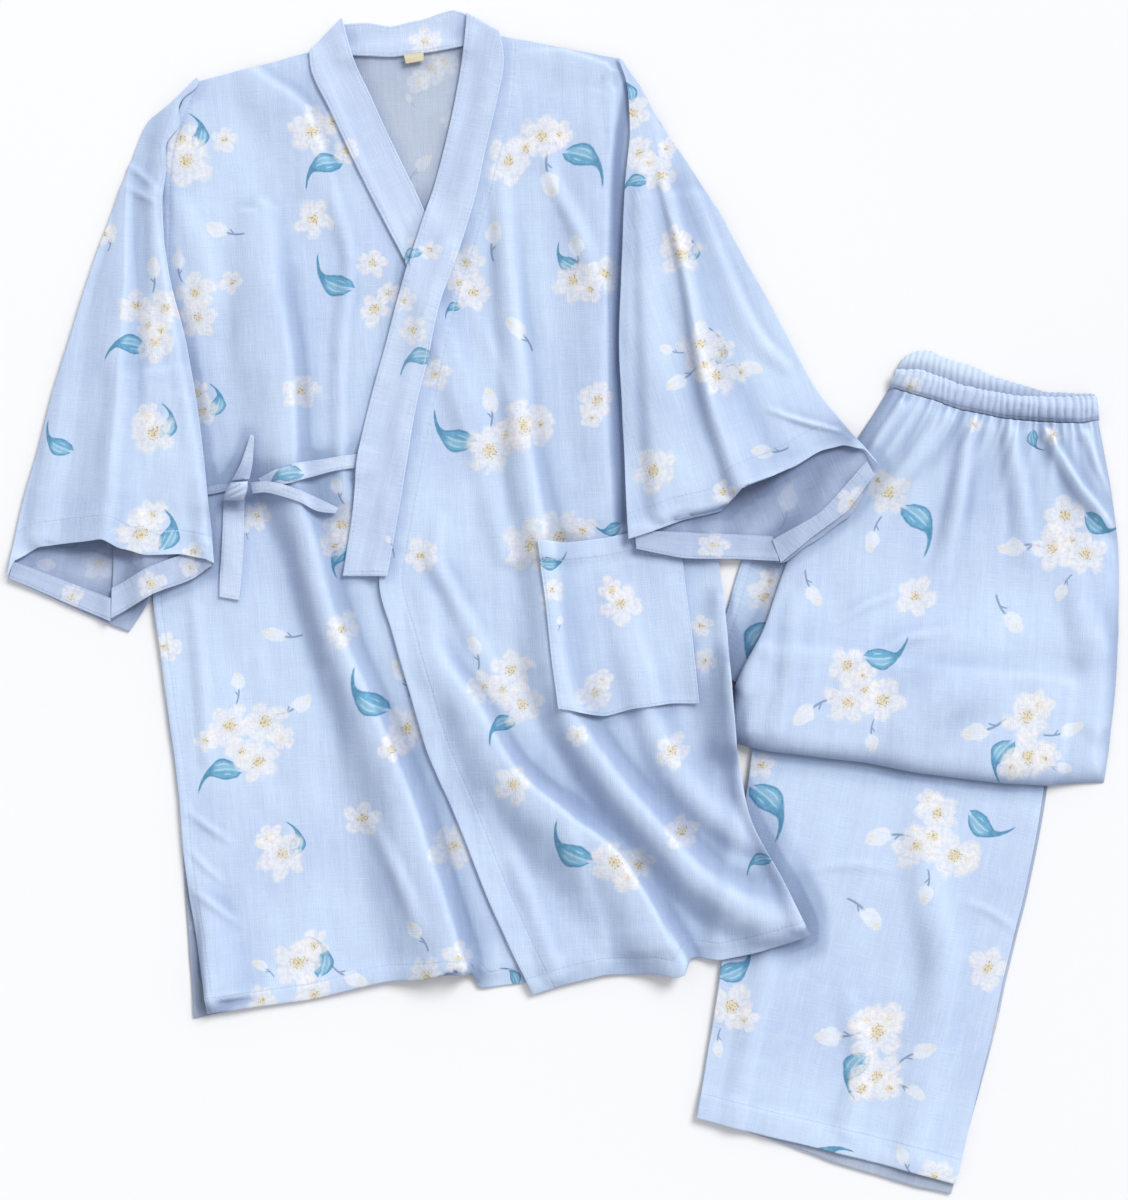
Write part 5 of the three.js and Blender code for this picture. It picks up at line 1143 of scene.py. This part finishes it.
# ---- pants ----
add_cloth("leg_back", LEG_BACK, wrong_side, "cloth_inside", spacing=4.5, wall=1.5, crinkle=0.7, grain=-13, hems=[("hem", 19)], stitches=[("hem", 19)], rests_on=["floor"], held="folded")
add_cloth("leg_front", LEG_FRONT, right_side, "cloth", folds=LEG_FOLDS, grain=-13, hems=[("hem", 19)], stitches=[("hem", 19)], crinkle=1.2, rests_on=["leg_back"], held="folded")


def core_edge(u, v):
    place = outline(PANTS_CORE)
    width = np.hypot(*(np.array(place(np.ones_like(u), v)) - np.array(place(np.zeros_like(u), v))))
    height = np.hypot(*(np.array(place(u, np.ones_like(v))) - np.array(place(u, np.zeros_like(v)))))
    return np.minimum(np.minimum(u, 1 - u) * width, np.minimum(v, 1 - v) * height)


def core_depth(u, v, x, y):
    """Hidden folded plies as one rounded pad, stepped at its rim where the plies' edges show."""
    full = CORE_UPPER + (CORE_LOWER - CORE_UPPER) * smooth((y - 10) / -60) - LEG_FOLDED * smooth((y + 30) / -20)
    e = np.clip(core_edge(u, v) / CORE_ROUND, 0, 1)
    ply = np.round(e * 4) / 4
    return 0.9 + (full - 0.9) * (0.45 * np.sqrt(1 - (1 - e) ** 2) + 0.55 * np.sqrt(1 - (1 - ply) ** 2))


add_cloth(
    "pants_core", PANTS_CORE, wrong_side, "cloth_inside", spacing=4, thick=core_depth, crinkle=0.3, grain=-4, rests_on=["leg_front", "floor"], held="folded",
    warp=lambda x, y, u, v: (x + (1 - 2 * u) * CORE_INSET, y - (1 - 2 * v) * CORE_INSET),
)
add_cloth(
    "pants_seat", PANTS_SEAT, right_side, "cloth", spacing=2.2, wall=1.3, reach=1, crinkle=0.7, grain=-32,
    hems=[("left", 7)], stitches=[("left", 8), ("left", 2)], rests_on=["pants_core", "leg_front"], held="folded",
)


def ruche(u, count, seed, slant=0.0, v=0.0):
    """Uneven narrow pleats across a gathered edge, from 0 in a groove to 1 on a crest."""
    jitter = 0.5 * (noise(u * 260, v * 12, 13, seed) - 0.5) + 0.9 * (noise(u * 90, v * 4, 13, seed + 1) - 0.5)
    return np.abs(np.sin(math.pi * (u * count + jitter + slant * v))) ** 0.55


casing_back = lambda u, v, x, y: 0.5 + 1.6 * ruche(u, 31, 51, 0.3, v) * np.sin(math.pi * np.clip(v * 0.9 + 0.1, 0, 1)) ** 0.5
add_cloth(
    "waistband_back", WAISTBAND_BACK, lit_inner_band, "band", across=1.05, down=1.4, wall=1.0, reach=1, crinkle=0.25, lift=casing_back,
    thick=lambda u, v, x, y: 1.0 + 2.0 * np.sqrt(np.clip(np.sin(math.pi * np.clip(v, 0.02, 0.98)), 0, 1)),
    warp=lambda x, y, u, v: (x + 4.5 * (1 - u) ** 8, y + (1 - v) * 1.1 * (ruche(u, 31, 51, 0.3, v) - 0.6)), held="gathered", rests_on=["pants_core"], fill=1.35,
)

GATHERS = table("at wide deep long lean",
    (0.03, 0.016, 2.6, 46, 0.00), (0.075, 0.014, 3.0, 62, -0.01), (0.115, 0.013, 2.2, 30, 0.00), (0.15, 0.017, 3.4, 86, -0.012), (0.20, 0.014, 2.8, 52, 0.004),
    (0.235, 0.015, 3.2, 74, -0.01), (0.28, 0.013, 2.0, 34, 0.00), (0.315, 0.018, 3.4, 96, -0.006), (0.365, 0.014, 2.4, 44, 0.004), (0.405, 0.014, 2.8, 58, 0.00),
    (0.445, 0.013, 2.2, 30, 0.00), (0.485, 0.017, 3.0, 78, 0.004), (0.53, 0.014, 2.0, 36, 0.00), (0.57, 0.014, 2.6, 50, 0.006), (0.61, 0.016, 3.0, 84, 0.008),
    (0.655, 0.013, 2.0, 32, 0.00), (0.69, 0.015, 2.8, 60, 0.006), (0.735, 0.014, 2.2, 40, 0.00), (0.775, 0.018, 3.4, 92, 0.012), (0.825, 0.014, 2.6, 48, 0.006),
    (0.86, 0.014, 3.0, 70, 0.01), (0.905, 0.013, 2.4, 42, 0.004), (0.945, 0.016, 3.0, 66, 0.008), (0.98, 0.012, 2.2, 36, 0.00))


def gathered(u, v, x, y):
    """Pleats that fan down from the elastic and die out at their own lengths."""
    down = v * 300
    height = np.zeros(u.shape)
    for row in GATHERS:
        fade = np.exp(-((down / row["long"]) ** 1.6))
        across = (u - row["at"] - row["lean"] * down / row["long"]) / (row["wide"] * (1 + 0.5 * down / row["long"]))
        height = height + row["deep"] * fade * np.exp(-(across**2))
    height = height + 2.1 * np.exp(-((down / 22) ** 1.7)) * ruche(u, RUCHES, 61)
    return height


add_cloth(
    "pants_upper", PANTS_UPPER, right_side, "cloth", across=1.9, down=3.0, folds=PANTS_UPPER_FOLDS, lift=gathered, grain=-4, crinkle=1.3,
    rolls=[("left", 7), ("right", 8), ("hem", 9)], held="folded", rests_on=["pants_core", "pants_seat", "leg_front", "waistband_back"],
)
casing_front = lambda u, v, x, y: 0.4 + 1.9 * ruche(u, RUCHES, 61, 0.2, v) * np.sin(math.pi * np.clip(v * 0.86 + 0.12, 0, 1)) ** 0.5
add_cloth(
    "waistband_front", WAISTBAND_FRONT, banding, "band", across=0.95, down=1.3, reach=1, crinkle=0.25, lift=casing_front, beside=["pants_upper"],
    thick=lambda u, v, x, y: 1.0 + 2.2 * np.sqrt(np.clip(np.sin(math.pi * np.clip(v, 0.02, 0.98)), 0, 1)),
    warp=lambda x, y, u, v: (x, y + 0.5 * v + (1 - v) * 1.2 * (ruche(u, RUCHES, 61, 0.2, v) - 0.6)), stitches=[("hem", 2.2), ("top", 2.5)],
    held="gathered", rests_on=["waistband_back", "pants_core"], fill=1.35,
)

# ---- top: back, neck, right front ----


def under_band(x, y, u, v):
    """At the neck the back reaches up under its collar band."""
    return x, y + 8.0 * np.exp(-((v / 0.02) ** 2)) * np.exp(-(((x + 135) / 42) ** 4))


add_cloth(
    "top_back", TOP_BACK, wrong_side, "cloth_inside", spacing=4.2, warp=under_band, grain=3, hems=[("hem", 12)], stitches=[("hem", 12)],
    rests_on=["pants_upper", "leg_front", "floor"],
)
add_cloth(
    "collar_back", COLLAR_BACK, banding, "band", spacing=1.8, reach=1, wall=BAND, crinkle=0.4, stitches=[("hem", 2.0), ("top", 2.4)],
    warp=lambda x, y, u, v: (x + (1 - 2 * u) * 3.0, y), rests_on=["top_back"],
)
add_cloth("size_label", SIZE_LABEL, tag, "label", spacing=1.2, reach=1, wall=0.5, crinkle=0.15, rests_on=["top_back", "collar_back"], stitches=[("top", 1.0)])
add_cloth(
    "front_under", FRONT_UNDER, right_side, "cloth", spacing=2.8, folds=FRONT_UNDER_FOLDS, grain=4, crinkle=1.15, hems=[("hem", 12), ("left", 5)],
    stitches=[("hem", 12), ("left", 6)], rests_on=["top_back"],
)
add_cloth("collar_under", COLLAR_UNDER, banding, "band", spacing=2.4, wall=0.7 * BAND, crinkle=0.7, grain=24, stitches=[("left", 2.0), ("right", 2.2)], rests_on=["front_under", "top_back"])

# ---- ties ----
strip = dict(wall=TIE, crinkle=0.35, spacing=1.3, stitches=[("left", 1.3), ("right", 1.3)])
add_cloth("tie_under", TIE_UNDER, tape, "tie", rests_on=["front_under"], **strip)
add_cloth("tie_over", TIE_OVER, tape, "tie", rests_on=["front_under"], grain=80, **strip)
add_cloth("tie_tail_down", TIE_TAIL_DOWN, tape, "tie", rests_on=["front_under"], grain=3, **dict(strip, stitches=[("left", 1.3), ("right", 1.3), ("hem", 2.2)]))
add_cloth("tie_tail_right", TIE_TAIL_RIGHT, tape, "tie", rests_on=["front_under", "tie_over"], grain=-72, **strip)
add_cloth("tie_tail_up", TIE_TAIL_UP, tape, "tie", rests_on=["front_under", "tie_tail_right"], grain=-15, **strip)


def knot_depth(u, v, x, y):
    """The tie's own turns: a slanting wrap over a cross turn, with creases between them."""
    dome = np.sqrt(np.clip(1 - (2 * u - 1) ** 2, 0, 1)) * np.sqrt(np.clip(1 - (2 * v - 1) ** 2, 0, 1))
    slant = (u - 0.5) * 1.2 + (v - 0.5) * 1.9
    wrap = 0.72 + 0.28 * np.abs(np.cos(math.pi * (slant * 1.35 + 0.08)))
    return 1.2 + (KNOT_HEIGHT - 1.2) * dome**0.8 * wrap


add_cloth("tie_knot", TIE_KNOT, tape, "tie", spacing=0.7, thick=knot_depth, crinkle=0.3, held="gathered", rests_on=["tie_under", "tie_over", "tie_tail_down"], fill=1.5)

# ---- left front, pocket, collar ----
add_cloth(
    "front_over", FRONT_OVER, right_side, "cloth", spacing=2.6, folds=FRONT_OVER_FOLDS, seam=ARMHOLE_RIGHT, grain=3, crinkle=1.15, hems=[("hem", 12), ("left", 17)],
    stitches=[("hem", 13), ("left", 17)], rests_on=["front_under", "top_back", "tie_over"],
)
add_cloth(
    "pocket", POCKET, right_side, "cloth", spacing=2.4, reach=1, wall=1.0, crinkle=0.8, grain=6, hems=[("top", 14)],
    stitches=[("top", 14), ("left", 1.6), ("right", 1.6), ("hem", 1.6)], rests_on=["front_over"],
)
add_cloth(
    "collar_over", COLLAR_OVER, banding, "band", spacing=2.4, wall=BAND, crinkle=0.8, grain=-13, stitches=[("left", 2.2), ("right", 2.0), ("hem", 3.0)],
    rests_on=["front_over", "front_under", "collar_under"],
)

# ---- sleeves ----
add_cloth("sleeve_left_back", SLEEVE_LEFT_BACK, inside, "cloth_inside", grain=-14, hems=[("hem", 16)], rests_on=["top_back", "floor"])
add_cloth("sleeve_left_underarm", SLEEVE_LEFT_UNDERARM, inside, "cloth_inside", grain=2, rests_on=["sleeve_left_back", "front_under"])
add_cloth(
    "cuff_hem_left_back", CUFF_HEM_LEFT_BACK, turned, "cloth", spacing=2, reach=1, wall=0.6, crinkle=0.6, grain=66, stitches=[("top", 1.2), ("hem", 1.2)],
    warp=lambda x, y, u, v: (x + 1.8 * u**6, y - 1.0 * v), rests_on=["sleeve_left_back"],
)
add_cloth(
    "cuff_hem_left_underarm", CUFF_HEM_LEFT_UNDERARM, turned, "cloth", spacing=2, reach=1, wall=0.6, crinkle=0.6, grain=-62, beside=["cuff_hem_left_back"],
    warp=lambda x, y, u, v: (x - 1.5 * (1 - u) ** 6, y - 1.8 * v),
    stitches=[("top", 1.2), ("hem", 1.2)], rests_on=["sleeve_left_underarm"],
)


def sleeve_head(x, y, u, v):
    """The sleeve laps a little further over the front below the shoulder, and its top end follows the shoulder."""
    inner = u**5
    end = u**8 * np.exp(-((v / 0.05) ** 2))
    return x + 5.0 * inner * np.exp(-(((y - 348) / 26) ** 2)) - 3.0 * end, y - 2.4 * inner * np.exp(-((v / 0.03) ** 2)) - 2.6 * end


add_cloth(
    "sleeve_left_front", SLEEVE_LEFT_FRONT, right_side, "cloth", spacing=2.8, warp=sleeve_head, folds=SLEEVE_LEFT_FOLDS, creases=SLEEVE_LEFT_CREASE, grain=-7, crinkle=1.1,
    stitches=[("hem", 18)], rests_on=["sleeve_left_back", "sleeve_left_underarm", "front_under"],
)
add_cloth("sleeve_right_back", SLEEVE_RIGHT_BACK, inside, "cloth_inside", grain=20, rests_on=["top_back", "front_over", "pants_upper", "floor"])
add_cloth(
    "cuff_hem_right_back", CUFF_HEM_RIGHT_BACK, turned, "cloth", spacing=2, reach=1, wall=0.6, crinkle=0.6, grain=86, stitches=[("top", 1.2), ("hem", 1.2)],
    warp=lambda x, y, u, v: (x + 2.5 * u**6 - 9.0 * (1 - u) ** 4, y + 2.6 * v * (1 - u) ** 5), rests_on=["sleeve_right_back"],
)
add_cloth(
    "cuff_hem_right_side", CUFF_HEM_RIGHT_SIDE, turned, "cloth", spacing=2, reach=1, wall=0.6, crinkle=0.6, grain=48, beside=["cuff_hem_right_back"],
    warp=lambda x, y, u, v: (x - 2.4 * (1 - u) ** 6 + 0.8 * v, y - 1.4 * v),
    stitches=[("top", 1.2), ("hem", 1.2)], rests_on=["sleeve_right_back"],
)
add_cloth(
    "sleeve_right_front", SLEEVE_RIGHT_FRONT, right_side, "cloth", spacing=2.8, folds=SLEEVE_RIGHT_FOLDS, grain=18, crinkle=1.1,
    stitches=[("hem", 18)], rests_on=["sleeve_right_back", "front_over", "top_back"],
)
write_shade_depths()

# ---- floor ----
grid = np.linspace(-6, 6, 25)
gx, gy = np.meshgrid(grid, grid)
floor_mesh = bpy.data.meshes.new("studio_floor")
ids = np.arange(625).reshape(25, 25)
floor_mesh.from_pydata(
    np.stack([gx.ravel(), gy.ravel(), np.full(625, -0.0002)], 1).tolist(),
    [],
    np.stack([ids[:-1, :-1].ravel(), ids[:-1, 1:].ravel(), ids[1:, 1:].ravel(), ids[1:, :-1].ravel()], 1).tolist(),
)
floor_object = bpy.data.objects.new("studio_floor", floor_mesh)
bpy.context.scene.collection.objects.link(floor_object)
g = Graph("pale_floor")
tone = g.cloud(g.node("ShaderNodeTexCoord").outputs["Object"], 0.8, 2.0)
paint = g.node("ShaderNodeBsdfPrincipled", {"Base Color": g.mix(g.step(tone, 0.2, 0.8), srgb(246, 246, 247), srgb(250, 250, 250)), "Roughness": 0.9, "Specular IOR Level": 0.1})
g.node("ShaderNodeOutputMaterial", {"Surface": paint.outputs[0]})
floor_mesh.materials.append(g.material)

# ---- light ----
scene = bpy.context.scene
scene.view_settings.view_transform = "Standard"
world = bpy.data.worlds.new("soft_studio")
scene.world = world
world.use_nodes = True
world.node_tree.nodes["Background"].inputs[0].default_value = (0.955, 0.965, 1.0, 1)
world.node_tree.nodes["Background"].inputs[1].default_value = 0.6


# one broad light from the upper left, low enough to model the folds
sun_data = bpy.data.lights.new("key", "SUN")
sun_data.energy = 2.16
sun_data.angle = math.radians(26)
sun_data.color = (1.0, 0.995, 0.985)
key = bpy.data.objects.new("key", sun_data)
scene.collection.objects.link(key)
key.location = (2.6, 3.1, 3.65)
key.rotation_euler = (-Vector(key.location)).to_track_quat("-Z", "Y").to_euler()

# ---- camera: straight above, the frame's middle over the set's ----
camera_data = bpy.data.cameras.new("camera")
camera_data.lens = 80
camera_data.sensor_width = 36
camera_data.clip_end = 50
camera = bpy.data.objects.new("camera", camera_data)
scene.collection.objects.link(camera)
camera.location = (0.0005, 0.0021, 2.065)
scene.camera = camera
